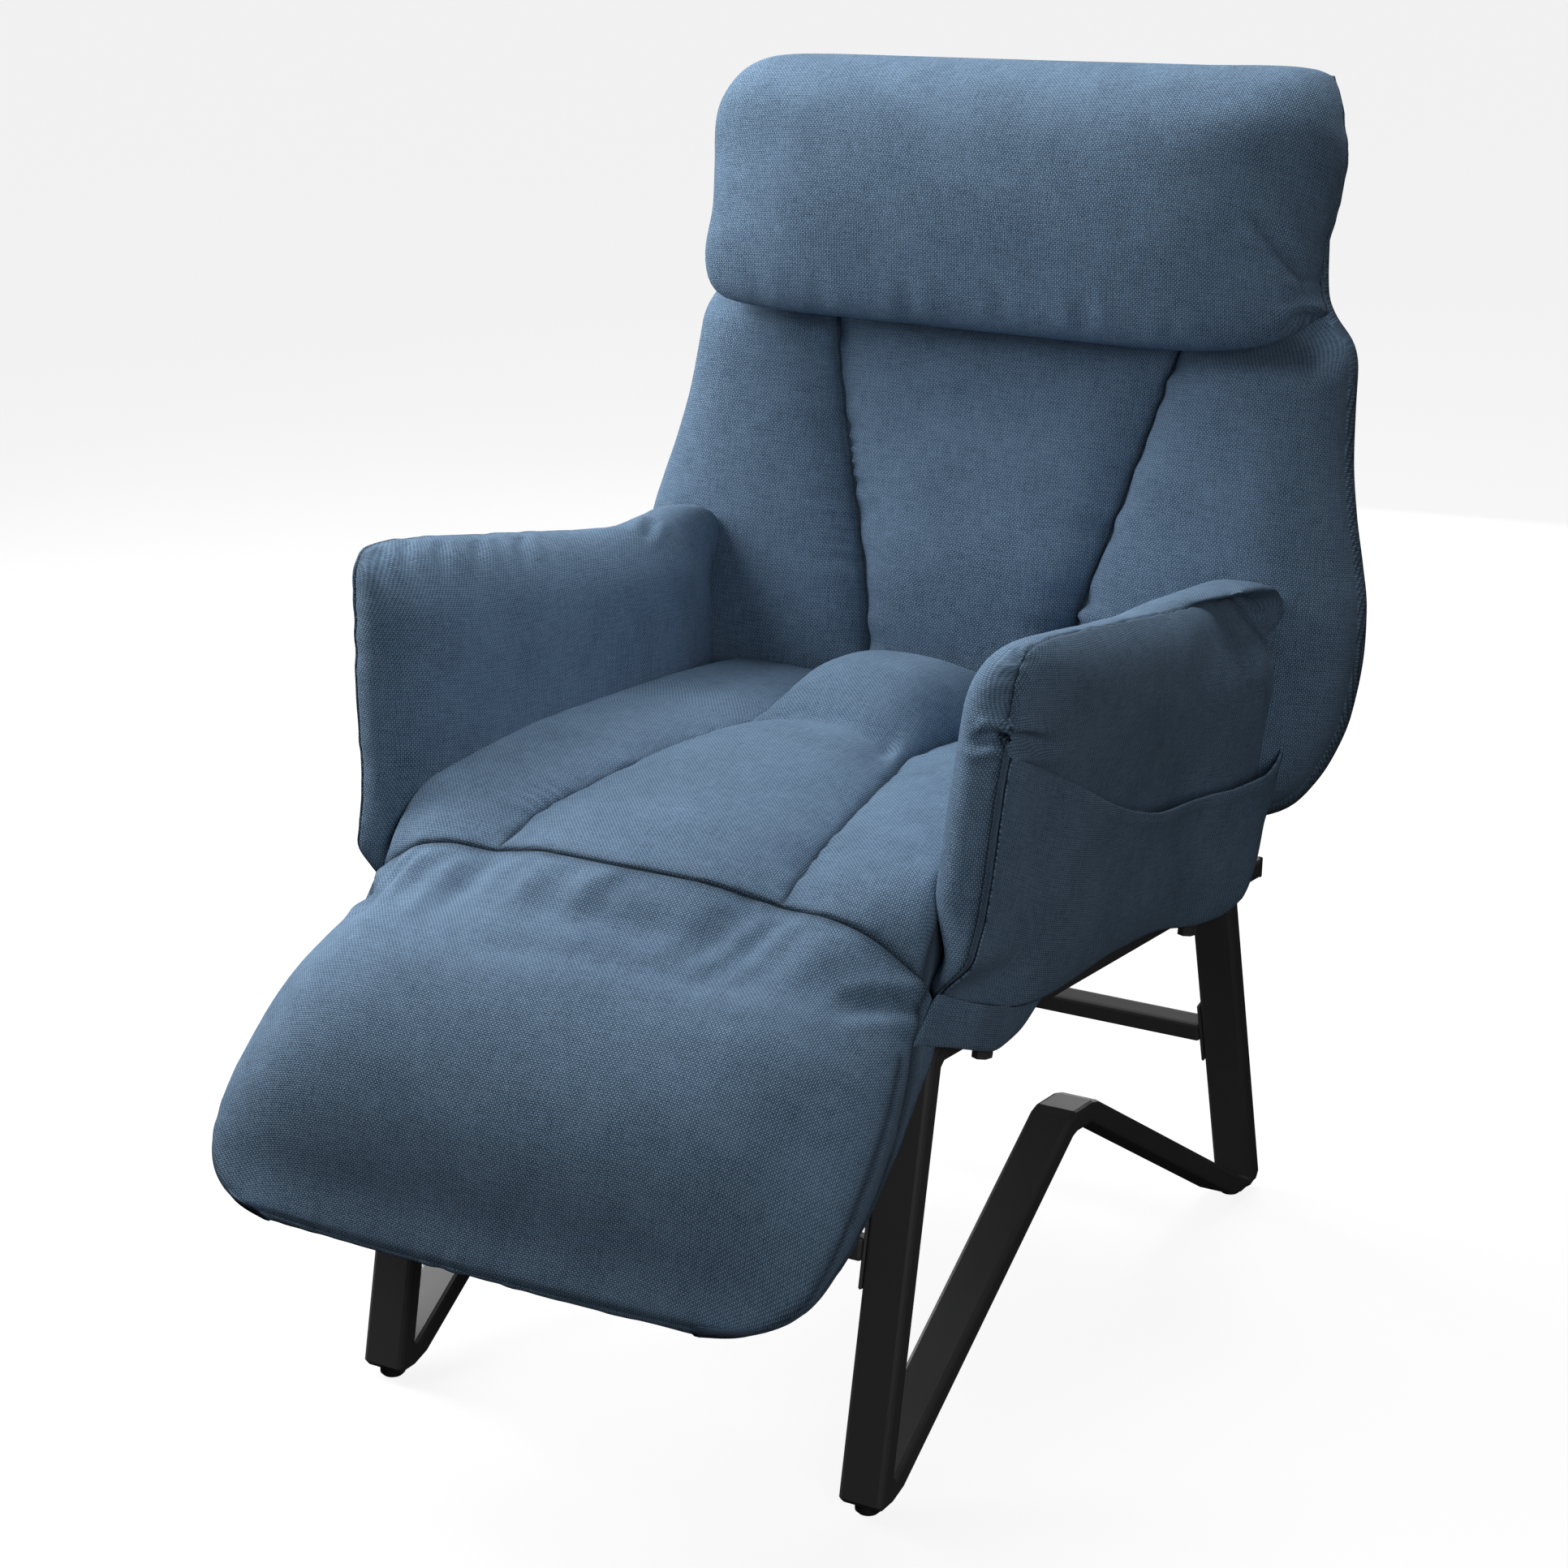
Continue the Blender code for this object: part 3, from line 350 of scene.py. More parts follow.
def refine(o, groove=0.0016):
    """One subdivision made real, then a fine groove along the seams."""
    m = o.modifiers.new("smooth", "SUBSURF")
    m.levels = m.render_levels = 1
    dg = bpy.context.evaluated_depsgraph_get()
    me = bpy.data.meshes.new_from_object(o.evaluated_get(dg))
    o.modifiers.remove(m)
    old = o.data
    o.data = me
    bpy.data.meshes.remove(old)
    me.name = o.name
    if groove and "seam" in me.attributes:
        k = np.zeros(len(me.vertices), np.float32)
        me.attributes["seam"].data.foreach_get("value", k)
        k = smooth((k - 0.55) / 0.4)
        set_coords(o, coords(o) - normals(o) * (k * groove)[:, None])
    return o


def seam_wrinkles(o, amount, reach, pitch, seed):
    """Small wrinkles that run out from the seams, where the stitching draws the cloth up, and a painted-shade mask
    along the seams.
    """
    k = np.zeros(len(o.data.vertices), np.float32)
    o.data.attributes["seam"].data.foreach_get("value", k)
    co, n = coords(o), normals(o)
    sewn = co[k > 0.9]
    # painted seam shade: a mask, 1 on the seams and gone within about 5 mm, which the cloth material uses to darken
    # the colour where shade falls into the seam lines
    painted_seam_shade = np.zeros(len(co), np.float32)
    for i in range(0, len(co), 1024):
        c = co[i:i + 1024]
        d2 = ((c[:, None, :] - sewn[None]) ** 2).sum(-1)
        j = d2.argmin(1)
        d = np.sqrt(d2[np.arange(len(c)), j])
        painted_seam_shade[i:i + 1024] = np.exp(-(d / 0.0042) ** 1.5)
        q = sewn[j] / pitch
        w = noise2(q[:, 0] + 0.6 * q[:, 2], q[:, 1] + 0.8 * q[:, 2], seed)
        co[i:i + 1024] = c + n[i:i + 1024] * (amount * w * np.minimum(d / 0.004, 1) * np.exp(-d / reach))[:, None]
    set_coords(o, co)
    o.data.attributes.new("painted_seam_shade", "FLOAT", "POINT").data.foreach_set("value", painted_seam_shade)


# the photograph's view, for creases that are placed where they are seen
CAM = np.array([1.46408, -2.53417, 1.42825])
CAZ, CPI, CF = math.radians(30.4696), math.radians(17.8149), 81.60 / 36.0 * 1932
C_R = np.array([math.cos(CAZ), math.sin(CAZ), 0.0])
C_F = np.array([-math.sin(CAZ) * math.cos(CPI), math.cos(CAZ) * math.cos(CPI), -math.sin(CPI)])
C_U = np.cross(C_R, C_F)


def seen_at(co):
    d = co - CAM
    z = d @ C_F
    return 966 + CF * (d @ C_R) / z, 966 - CF * (d @ C_U) / z


def crease(o, line, depth, width, start=0.15, end=0.35, ridge=0.4, mirrored=False, facing=0.1):
    """Presses a soft crease into the surface along a line seen from the front; width in the photograph's pixels."""
    co, n = coords(o), normals(o)
    for flip in ((1.0, -1.0) if mirrored else (1.0,)):
        f = np.array([flip, 1.0, 1.0])
        q, m = co * f, n * f
        x, y = seen_at(q)
        v = CAM - q
        v /= np.linalg.norm(v, axis=1, keepdims=True)
        pts = dense(line, 3.0)
        d, along = to_line(x, y, pts)
        t = along / sum(math.dist(i, j) for i, j in zip(pts, pts[1:]))
        fade = smooth(t / max(start, 1e-3)) * smooth((1 - t) / max(end, 1e-3)) * smooth(((v * m).sum(1) - facing) / 0.15)
        w = -np.exp(-(d / width) ** 2) + ridge * np.exp(-((d - 2.0 * width) / (0.9 * width)) ** 2)
        co = co + n * (w * fade * depth)[:, None]
    set_coords(o, co)


def finish_soft(o, material):
    o.data.materials.clear()
    o.data.materials.append(material)
    o.data.shade_smooth()
    return o


# ------------------------------------------------------------------- materials
def new_material(name):
    m = bpy.data.materials.new(name)
    m.use_nodes = True
    return m, m.node_tree.nodes, m.node_tree.links, m.node_tree.nodes["Principled BSDF"]


def woven(name, dark, light, pitch=0.00175, bump=0.75, seed=0.0):
    """Chunky two-thread basket weave laid along the cloth's own directions."""
    m, N, L, bsdf = new_material(name)

    def math_node(op, a, b=None, clamp=False):
        n = N.new("ShaderNodeMath")
        n.operation = op
        n.use_clamp = clamp
        for k, v in enumerate((a, b)):
            if v is None:
                continue
            if isinstance(v, (int, float)):
                n.inputs[k].default_value = v
            else:
                L.new(v, n.inputs[k])
        return n.outputs[0]

    uv = N.new("ShaderNodeUVMap")
    uv.uv_map = "cloth"
    # threads wander a little
    wob = N.new("ShaderNodeTexNoise")
    wob.noise_dimensions = "2D"
    wob.inputs["Scale"].default_value = 55.0
    wob.inputs["Detail"].default_value = 2.0
    L.new(uv.outputs[0], wob.inputs["Vector"])
    off = N.new("ShaderNodeVectorMath")
    off.operation = "MULTIPLY_ADD"
    L.new(wob.outputs["Color"], off.inputs[0])
    off.inputs[1].default_value = (0.0010, 0.0010, 0.0)
    L.new(uv.outputs[0], off.inputs[2])
    sc = N.new("ShaderNodeVectorMath")
    sc.operation = "SCALE"
    L.new(off.outputs[0], sc.inputs[0])
    sc.inputs["Scale"].default_value = 1.0 / pitch
    xyz = N.new("ShaderNodeSeparateXYZ")
    L.new(sc.outputs[0], xyz.inputs[0])
    u, v = xyz.outputs[0], xyz.outputs[1]
    su = math_node("SINE", math_node("MULTIPLY", u, math.pi))
    sv = math_node("SINE", math_node("MULTIPLY", v, math.pi))
    au, av = math_node("ABSOLUTE", su), math_node("ABSOLUTE", sv)
    sg = math_node("MULTIPLY", math_node("SIGN", su), math_node("SIGN", sv))
    warp = math_node("MULTIPLY", math_node("POWER", au, 0.55), math_node("ADD", 1.0, math_node("MULTIPLY", sg, av)))
    weft = math_node("MULTIPLY", math_node("POWER", av, 0.55),
                     math_node("SUBTRACT", 1.0, math_node("MULTIPLY", sg, au)))
    weft = math_node("MULTIPLY", weft, 0.62)
    height = math_node("MULTIPLY", math_node("MAXIMUM", warp, weft), 0.5)
    # each thread has its own tone
    thread = N.new("ShaderNodeTexNoise")
    thread.noise_dimensions = "2D"
    thread.inputs["Scale"].default_value = 1.0
    thread.inputs["Detail"].default_value = 1.0
    stretch = N.new("ShaderNodeVectorMath")
    stretch.operation = "MULTIPLY"
    L.new(sc.outputs[0], stretch.inputs[0])
    stretch.inputs[1].default_value = (0.09, 0.9, 1.0)
    L.new(stretch.outputs[0], thread.inputs["Vector"])
    thread2 = N.new("ShaderNodeTexNoise")
    thread2.noise_dimensions = "2D"
    thread2.inputs["Scale"].default_value = 1.0
    thread2.inputs["Detail"].default_value = 1.0
    stretch2 = N.new("ShaderNodeVectorMath")
    stretch2.operation = "MULTIPLY"
    L.new(sc.outputs[0], stretch2.inputs[0])
    stretch2.inputs[1].default_value = (0.9, 0.09, 1.0)
    L.new(stretch2.outputs[0], thread2.inputs["Vector"])
    # soft mottling of the pile over a few centimetres
    tex = N.new("ShaderNodeTexCoord")
    mott = N.new("ShaderNodeTexNoise")
    mott.inputs["Scale"].default_value = 16.0
    mott.inputs["Detail"].default_value = 3.0
    mott.inputs["Roughness"].default_value = 0.55
    L.new(tex.outputs["Object"], mott.inputs["Vector"])
    fine = N.new("ShaderNodeTexNoise")
    fine.inputs["Scale"].default_value = 900.0
    fine.inputs["Detail"].default_value = 2.0
    L.new(tex.outputs["Object"], fine.inputs["Vector"])

    tone = math_node("ADD", math_node("MULTIPLY", height, 0.78),
                     math_node("MULTIPLY", math_node("ADD", thread.outputs[0], thread2.outputs[0]), 0.16))
    tone = math_node("ADD", tone, math_node("MULTIPLY", math_node("SUBTRACT", mott.outputs[0], 0.5), 0.20))
    tone = math_node("ADD", tone, math_node("MULTIPLY", math_node("SUBTRACT", fine.outputs[0], 0.5), 0.30))
    ramp = N.new("ShaderNodeValToRGB")
    ramp.color_ramp.interpolation = "EASE"
    ramp.color_ramp.elements[0].position = 0.12
    ramp.color_ramp.elements[0].color = (*dark, 1.0)
    ramp.color_ramp.elements[1].position = 1.0
    ramp.color_ramp.elements[1].color = (*light, 1.0)
    L.new(tone, ramp.inputs[0])
    # the cloth is drawn in along the seams, and painted shade darkens its colour there by up to 62%, where shade
    # falls into the seam lines
    seam = N.new("ShaderNodeAttribute")
    seam.attribute_name = "painted_seam_shade"
    dim = N.new("ShaderNodeVectorMath")
    dim.operation = "SCALE"
    L.new(ramp.outputs[0], dim.inputs[0])
    L.new(math_node("SUBTRACT", 1.0, math_node("MULTIPLY", seam.outputs["Fac"], 0.62)), dim.inputs["Scale"])
    L.new(dim.outputs[0], bsdf.inputs["Base Color"])
    bsdf.inputs["Roughness"].default_value = 0.92
    bsdf.inputs["Specular IOR Level"].default_value = 0.08
    bsdf.inputs["Sheen Weight"].default_value = 0.08
    bsdf.inputs["Sheen Roughness"].default_value = 0.45
    bsdf.inputs["Sheen Tint"].default_value = (0.62, 0.74, 0.88, 1.0)
    total = math_node("ADD", height, math_node("MULTIPLY", fine.outputs[0], 0.25))
    bp = N.new("ShaderNodeBump")
    bp.inputs["Strength"].default_value = bump
    bp.inputs["Distance"].default_value = 0.0009
    L.new(total, bp.inputs["Height"])
    L.new(bp.outputs[0], bsdf.inputs["Normal"])
    return m


def coated(name, colour, rough, bump=0.12, edge_light=0.35):
    """Satin powder coat: fine orange-peel grain, edges rubbed a little lighter."""
    m, N, L, bsdf = new_material(name)
    tex = N.new("ShaderNodeTexCoord")
    grain = N.new("ShaderNodeTexNoise")
    grain.inputs["Scale"].default_value = 700.0
    grain.inputs["Detail"].default_value = 3.0
    L.new(tex.outputs["Object"], grain.inputs["Vector"])
    patch = N.new("ShaderNodeTexNoise")
    patch.inputs["Scale"].default_value = 9.0
    patch.inputs["Detail"].default_value = 4.0
    L.new(tex.outputs["Object"], patch.inputs["Vector"])
    geo = N.new("ShaderNodeNewGeometry")
    edge_ramp = N.new("ShaderNodeMapRange")
    edge_ramp.inputs["From Min"].default_value = 0.52
    edge_ramp.inputs["From Max"].default_value = 0.62
    L.new(geo.outputs["Pointiness"], edge_ramp.inputs["Value"])
    mix = N.new("ShaderNodeMix")
    mix.data_type = "RGBA"
    mix.inputs["A"].default_value = (*[c * 0.85 for c in colour], 1.0)
    mix.inputs["B"].default_value = (*[c * 1.25 + 0.001 for c in colour], 1.0)
    L.new(patch.outputs[0], mix.inputs["Factor"])
    mix2 = N.new("ShaderNodeMix")
    mix2.data_type = "RGBA"
    L.new(mix.outputs["Result"], mix2.inputs["A"])
    mix2.inputs["B"].default_value = (*[c + 0.02 * edge_light for c in colour], 1.0)
    L.new(edge_ramp.outputs[0], mix2.inputs["Factor"])
    L.new(mix2.outputs["Result"], bsdf.inputs["Base Color"])
    rr = N.new("ShaderNodeMapRange")
    rr.inputs["To Min"].default_value = rough - 0.07
    rr.inputs["To Max"].default_value = rough + 0.07
    L.new(patch.outputs[0], rr.inputs["Value"])
    L.new(rr.outputs[0], bsdf.inputs["Roughness"])
    bsdf.inputs["Specular IOR Level"].default_value = 0.45
    bp = N.new("ShaderNodeBump")
    bp.inputs["Strength"].default_value = bump
    bp.inputs["Distance"].default_value = 0.0006
    L.new(grain.outputs[0], bp.inputs["Height"])
    L.new(bp.outputs[0], bsdf.inputs["Normal"])
    return m


def plated(name):
    m, N, L, bsdf = new_material(name)
    tex = N.new("ShaderNodeTexCoord")
    a = N.new("ShaderNodeTexNoise")
    a.inputs["Scale"].default_value = 60.0
    a.inputs["Detail"].default_value = 5.0
    L.new(tex.outputs["Object"], a.inputs["Vector"])
    ramp = N.new("ShaderNodeValToRGB")
    ramp.color_ramp.elements[0].color = (0.36, 0.36, 0.37, 1)
    ramp.color_ramp.elements[1].color = (0.56, 0.56, 0.58, 1)
    L.new(a.outputs[0], ramp.inputs[0])
    L.new(ramp.outputs[0], bsdf.inputs["Base Color"])
    bsdf.inputs["Metallic"].default_value = 1.0
    rr = N.new("ShaderNodeMapRange")
    rr.inputs["To Min"].default_value = 0.28
    rr.inputs["To Max"].default_value = 0.46
    L.new(a.outputs[0], rr.inputs["Value"])
    L.new(rr.outputs[0], bsdf.inputs["Roughness"])
    return m


def webbing(name):
    m, N, L, bsdf = new_material(name)
    tex = N.new("ShaderNodeTexCoord")
    w = N.new("ShaderNodeTexWave")
    w.wave_type = "BANDS"
    w.bands_direction = "Y"
    w.inputs["Scale"].default_value = 160.0
    w.inputs["Distortion"].default_value = 0.6
    L.new(tex.outputs["Object"], w.inputs["Vector"])
    ramp = N.new("ShaderNodeValToRGB")
    ramp.color_ramp.elements[0].color = (0.012, 0.012, 0.013, 1)
    ramp.color_ramp.elements[1].color = (0.045, 0.045, 0.048, 1)
    L.new(w.outputs["Color"], ramp.inputs[0])
    L.new(ramp.outputs[0], bsdf.inputs["Base Color"])
    bsdf.inputs["Roughness"].default_value = 0.85
    bp = N.new("ShaderNodeBump")
    bp.inputs["Strength"].default_value = 0.4
    bp.inputs["Distance"].default_value = 0.0008
    L.new(w.outputs["Color"], bp.inputs["Height"])
    L.new(bp.outputs[0], bsdf.inputs["Normal"])
    return m


FABRIC = woven("slate_weave", (0.0125, 0.0275, 0.0500), (0.238, 0.366, 0.526))
POWDER = coated("black_powder_coat", (0.054, 0.054, 0.0545), 0.47)
PLASTIC = coated("black_moulded", (0.010, 0.010, 0.0105), 0.55, bump=0.2, edge_light=0.2)
ZINC = plated("zinc_plate")
WEB = webbing("black_webbing")
SLOT_LOOK = {"powder_coat": POWDER, "black_plastic": PLASTIC, "zinc_steel": ZINC, "webbing": WEB}
for sub in frame["record"]["subparts"]:
    look = SLOT_LOOK.get(sub["material_slot"])
    if look is not None:
        o = nodes[sub["node"]]
        o.data.materials.clear()
        o.data.materials.append(look)


def soft(o, body, stands_for):
    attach(o, body)
    if stands_for:
        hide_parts(*stands_for)
    return o


# ------------------------------------------------------------------------ back
BP = (0.610, 0.450)
BS, BC = math.sin(math.radians(13.0)), math.cos(math.radians(13.0))


def back_at(x, t, b):
    """x across, t up the back, b behind the hinge plane."""
    return np.stack([x + 0 * t, BP[0] + t * BS + b * BC - YM, BP[1] + t * BC - b * BS], -1)


back_w = curve([(-0.022, 0.278), (-0.010, 0.312), (0.010, 0.331), (0.040, 0.348), (0.080, 0.360), (0.130, 0.364),
                (0.172, 0.361), (0.210, 0.352), (0.250, 0.341), (0.300, 0.331), (0.350, 0.326), (0.385, 0.323),
                (0.402, 0.316), (0.416, 0.302), (0.440, 0.288), (0.500, 0.280), (0.580, 0.268), (0.612, 0.258)])
chan_x = curve([(-0.03, 0.086), (0.060, 0.098), (0.130, 0.111), (0.170, 0.121), (0.240, 0.141), (0.310, 0.160),
                (0.380, 0.177), (0.450, 0.192), (0.620, 0.205)])

T0, T1 = -0.022, 0.612
UC = 0.42
ue = 0.055 / 0.34
U = join(edge(-1, ue, 6), span(-1 + ue, -UC, 20, False, True), span(-UC, 0, 17, True, False),
         span(0, UC, 17, False, True), span(UC, 1 - ue, 20, True, False), edge(1, ue, 6, -1)[::-1])
V = join(edge(T0, 0.035, 5), span(T0 + 0.035, T1 - 0.035, 74), edge(T1, 0.035, 5, -1)[::-1])
gu, gt = np.meshgrid(U, V, indexing="ij")


def back_x(u, t):
    w, c = back_w(t), chan_x(t) - 0.005 * np.sign(u)
    a = np.abs(u)
    return np.sign(u) * np.where(a < UC, c * a / UC, c + (w - c) * (a - UC) / (1 - UC))


bx = back_x(gu, gt)
d_side = back_w(gt) - np.abs(bx)
d_end = np.minimum(gt - T0, T1 - gt)
h_end = rise(d_end, 0.035)
cx = chan_x(gt) - 0.005 * np.sign(gu)
q_side = np.clip((np.abs(bx) - cx) / (back_w(gt) - cx), 0, 1)
q_mid = np.clip(np.abs(bx) / cx, 0, 1)
bulge_side = 0.043 * np.clip(4 * q_side * (1 - q_side), 0, 1) ** 0.43
bulge_mid = 0.033 * np.clip(1 - q_mid ** 3, 0, 1) ** 0.43
# pressed flat behind the head pillow
bulge = np.where(np.abs(bx) < cx, bulge_mid, bulge_side) * (1 - 0.8 * smooth((gt - 0.362) / 0.055))
out = 0.008 * overhang(d_side, 0.060)
front = back_at(bx * (1 + out / np.maximum(np.abs(bx), 0.05) * h_end), gt, 0.012 - (0.021 * rise(d_side, 0.06) * (1 - 0.7 * smooth((gt - 0.362) / 0.055)) + bulge) * h_end)
hb = 0.054 * rise(d_side, 0.070) * rise(d_end, 0.030)
back = back_at(bx, gt, 0.012 + hb)
chan = np.zeros(gu.shape, bool)
chan[np.argmin(np.abs(U + UC))] = True
chan[np.argmin(np.abs(U - UC))] = True
pinb = np.where(hb > 0.048, 1.0, 0.5)
back_obj, pins = pad("back_cushion_cover", front, back, chan, None, pinb)
inflate(back_obj, pins, pressure=0.6, slack=0.001, cap=0.004, frames=14)
refine(back_obj, 0.0080)
seam_wrinkles(back_obj, 0.0010, 0.010, 0.013, 11.0)


def back_local(co):
    y, z = co[:, 1] + YM - BP[0], co[:, 2] - BP[1]
    return co[:, 0], y * BS + z * BC, y * BC - z * BS


def pucker(o, amount, reach, pitch, chan_of, local, seed, shift=0.0):
    """Short wrinkles that run out from a sewn channel."""
    co, n = coords(o), normals(o)
    x, t, b_ = local(co)
    for sg in (-1, 1):
        d = x - sg * (chan_of(t) - shift * sg)
        for half in (-1, 1):
            k = np.clip(d * half, 0, None)
            ph = t / pitch + 1.7 * noise2(t * 14 + 3 * half, 0 * t + sg, seed) + 0.35 * half
            w = np.sin(2 * np.pi * ph) * (0.55 + 0.45 * noise2(t * 22, 0 * t + 5 * half + sg, seed + 2))
            w *= np.where(d * half > 0, np.minimum(k / 0.006, 1) * np.exp(-k / reach), 0) * (np.abs(k) < 4 * reach)
            front_side = b_ < 0.020
            co = co + n * (amount * w * front_side)[:, None]
    set_coords(o, co)


pucker(back_obj, 0.0055, 0.017, 0.030, chan_x, back_local, 3.0, 0.005)
finish_soft(back_obj, FABRIC)
soft(back_obj, "back", ["back_cushion"])

# cover on the rear of the back: a thin quilted panel sewn on inside the edge
pan_w = curve([(0.030, 0.214), (0.040, 0.238), (0.060, 0.258), (0.090, 0.267), (0.170, 0.270), (0.360, 0.264), (0.470, 0.254), (0.594, 0.240)])
U = join(edge(-1, 0.10, 5), span(-0.90, 0.90, 44), edge(1, 0.10, 5, -1)[::-1])
V = join(edge(0.030, 0.030, 5), span(0.060, 0.564, 44), edge(0.594, 0.030, 5, -1)[::-1])
gu, gt = np.meshgrid(U, V, indexing="ij")
px = gu * pan_w(gt)
d_s, d_e = (1 - np.abs(gu)) * pan_w(gt), np.minimum(gt - 0.030, 0.594 - gt)
bulge = rise(d_s, 0.035) * rise(d_e, 0.035)
slump = 0.0022 * noise2(px * 11 + 4, gt * 7, 5.0) * rise(d_s, 0.09) * rise(d_e, 0.09)
rear = back_at(px, gt, 0.0705 + 0.0105 * bulge + slump)
inner = back_at(px, gt, 0.0705 - 0.003 * bulge)
panel, pins = pad("back_rear_cover", rear, inner, None, None, np.ones(gu.shape))
inflate(panel, pins, pressure=0.5, slack=0.004, cap=0.004)
refine(panel)
finish_soft(panel, FABRIC)
soft(panel, "back", ["back_rear_panel"])

# ------------------------------------------------------------------ head pillow
hp0 = np.array([0.668, 0.829])
hdir = np.array([0.094, 0.221])
HL = float(np.hypot(*hdir))
hv = hdir / HL
hn = np.array([-hv[1], hv[0]])


def head_at(x, v, n):
    return np.stack([x + 0 * v, hp0[0] + v * hv[0] + n * hn[0] - YM, hp0[1] + v * hv[1] + n * hn[1]], -1)


HW = 0.283
X = join(edge(-HW, 0.080, 9), span(-HW + 0.080, HW - 0.080, 54), edge(HW, 0.080, 9, -1)[::-1])
V = join(edge(0.0, 0.060, 8), span(0.060, HL - 0.055, 18), edge(HL, 0.055, 8, -1)[::-1])
gx, gv = np.meshgrid(X, V, indexing="ij")
dx, dv0, dv1 = HW - np.abs(gx), gv, HL - gv
boxy = 7 + 6 * smooth((gv - 0.12) / 0.10) + 4 * (gx < 0) * (1 - smooth(gv / 0.07))
hx = np.clip(1 - np.abs(gx / HW) ** boxy, 0, 1) ** 0.5
hvv = np.clip(1 - np.abs(2 * gv / HL - 1) ** np.where(gv < HL / 2, 7, 4), 0, 1) ** 0.5
# the end that shows: drawn out to an ear below, full above, and its upper corner pulled forward
ext = curve([(0.0, -0.012), (0.012, 0.012), (0.028, 0.026), (0.045, 0.022), (0.065, 0.015), (0.095, 0.012), (0.13, 0.015),
             (0.175, 0.018), (0.205, 0.013), (0.240, 0.001)])(gv) * smooth((gx - 0.14) / 0.13)
lift = 0.022 * smooth((gv - 0.13) / 0.10) * smooth((gx - 0.17) / 0.11)
depth = curve([(0.0, 0.074), (0.05, 0.091), (0.110, 0.105), (0.180, 0.110), (0.245, 0.106)])(gv)
# the end panels swell out behind, most near the top, and the lower front corners stand out
turn = np.arccos(np.clip(1 - np.clip(dx / 0.080, 0, 1), 0, 1))
swell = (0.012 + 0.044 * np.sin(np.pi * np.clip(gv / HL, 0, 1) ** 1.6)) * np.sin(2 * turn) ** 0.6 * np.cos(turn) ** 2
swell = swell + (0.005 + 0.022 * np.exp(-((gv - 0.025) / 0.055) ** 2)) * np.exp(-((turn - 0.85) / 0.42) ** 2) * smooth(turn / 0.3)
ox = np.sign(gx) * swell * rise(np.minimum(dv0, dv1), 0.03) * np.where(gx > 0, 0.35, 1.0)
hang = 0.030 * (1 - smooth(gv / 0.060))
ov = (-0.036 * overhang(dv0, 0.045) + 0.006 * overhang(dv1, 0.055)) * hx + 0.030 * (1 - hvv * hx) * (gv < HL / 2) * (1 - smooth(gv / 0.060))
front = head_at(gx + ext + ox, gv + ov, lift + (depth - lift) * hx * hvv)
tuck = rise(dx, 0.012) * np.exp(-(dx / 0.030) ** 2) * hvv * smooth((gx - 0.1) / 0.1)
back = head_at(gx + ext + 0.008 * tuck, gv + hang, lift - 0.004 * hx * hvv - 0.008 * tuck)
# it sits a touch askew
for g in (front, back):
    g[..., 2] += 0.0085 * gx / HW * smooth(gv / HL)
head_obj, pins = pad("head_pillow_cover", front, back, None, None, np.ones(gx.shape))
inflate(head_obj, pins, pressure=1.6, slack=0.001, cap=0.006, frames=16)
refine(head_obj)
seam_wrinkles(head_obj, 0.0014, 0.012, 0.014, 21.0)
crease(head_obj, [(1538, 256), (1575, 300), (1618, 352)], 0.0065, 11, 0.3, 0.12, 0.45)
crease(head_obj, [(1583, 408), (1594, 398), (1608, 394), (1624, 397)], 0.009, 9, 0.25, 0.1, 0.6)
crease(head_obj, [(1570, 360), (1600, 372), (1626, 362)], 0.004, 12, 0.3, 0.1, 0.3)
for ex, ey, ln, dp in ((1014, 376, 34, 0.0010), (1122, 386, 50, 0.0014), (1236, 393, 38, 0.0010), (1338, 402, 56, 0.0015),
                       (1446, 416, 40, 0.0013), (1508, 420, 46, 0.0014), (938, 368, 40, 0.0012)):
    crease(head_obj, [(ex, ey + 4), (ex - 7, ey - ln * 0.5), (ex - 22, ey - ln)], dp, 11, 0.05, 0.7, 0.5)
finish_soft(head_obj, FABRIC)
soft(head_obj, "headrest", ["headrest_pillow"])

# ------------------------------------------------------------------------ seat
# front seam between the seat and the foot rest, as (x, y, z)
seam_y = curve([(0.0, 0.012), (0.070, 0.020), (0.135, 0.040), (0.170, 0.036), (0.205, 0.037), (0.240, 0.043), (0.266, 0.047)])
seam_z = curve([(0.0, 0.506), (0.070, 0.503), (0.120, 0.490), (0.138, 0.486), (0.170, 0.488), (0.205, 0.482),
                (0.240, 0.462), (0.266, 0.441)])
SW = 0.262
X = join(span(-SW, -0.128, 20, True, True), span(-0.128, 0, 17, True, False), span(0, 0.128, 17, False, True), span(0.128, SW, 20, True, True))
V = span(0, 1, 72, True, False)
gx, gv = np.meshgrid(X, V, indexing="ij")
pad_line = curve([(0.0, 0.138), (0.09, 0.134), (0.15, 0.127), (0.22, 0.118), (0.29, 0.104), (0.345, 0.090),
                  (0.40, 0.094), (0.45, 0.104), (0.58, 0.118)])
y0 = seam_y(np.abs(gx))
sy = y0 + (0.570 - y0) * gv
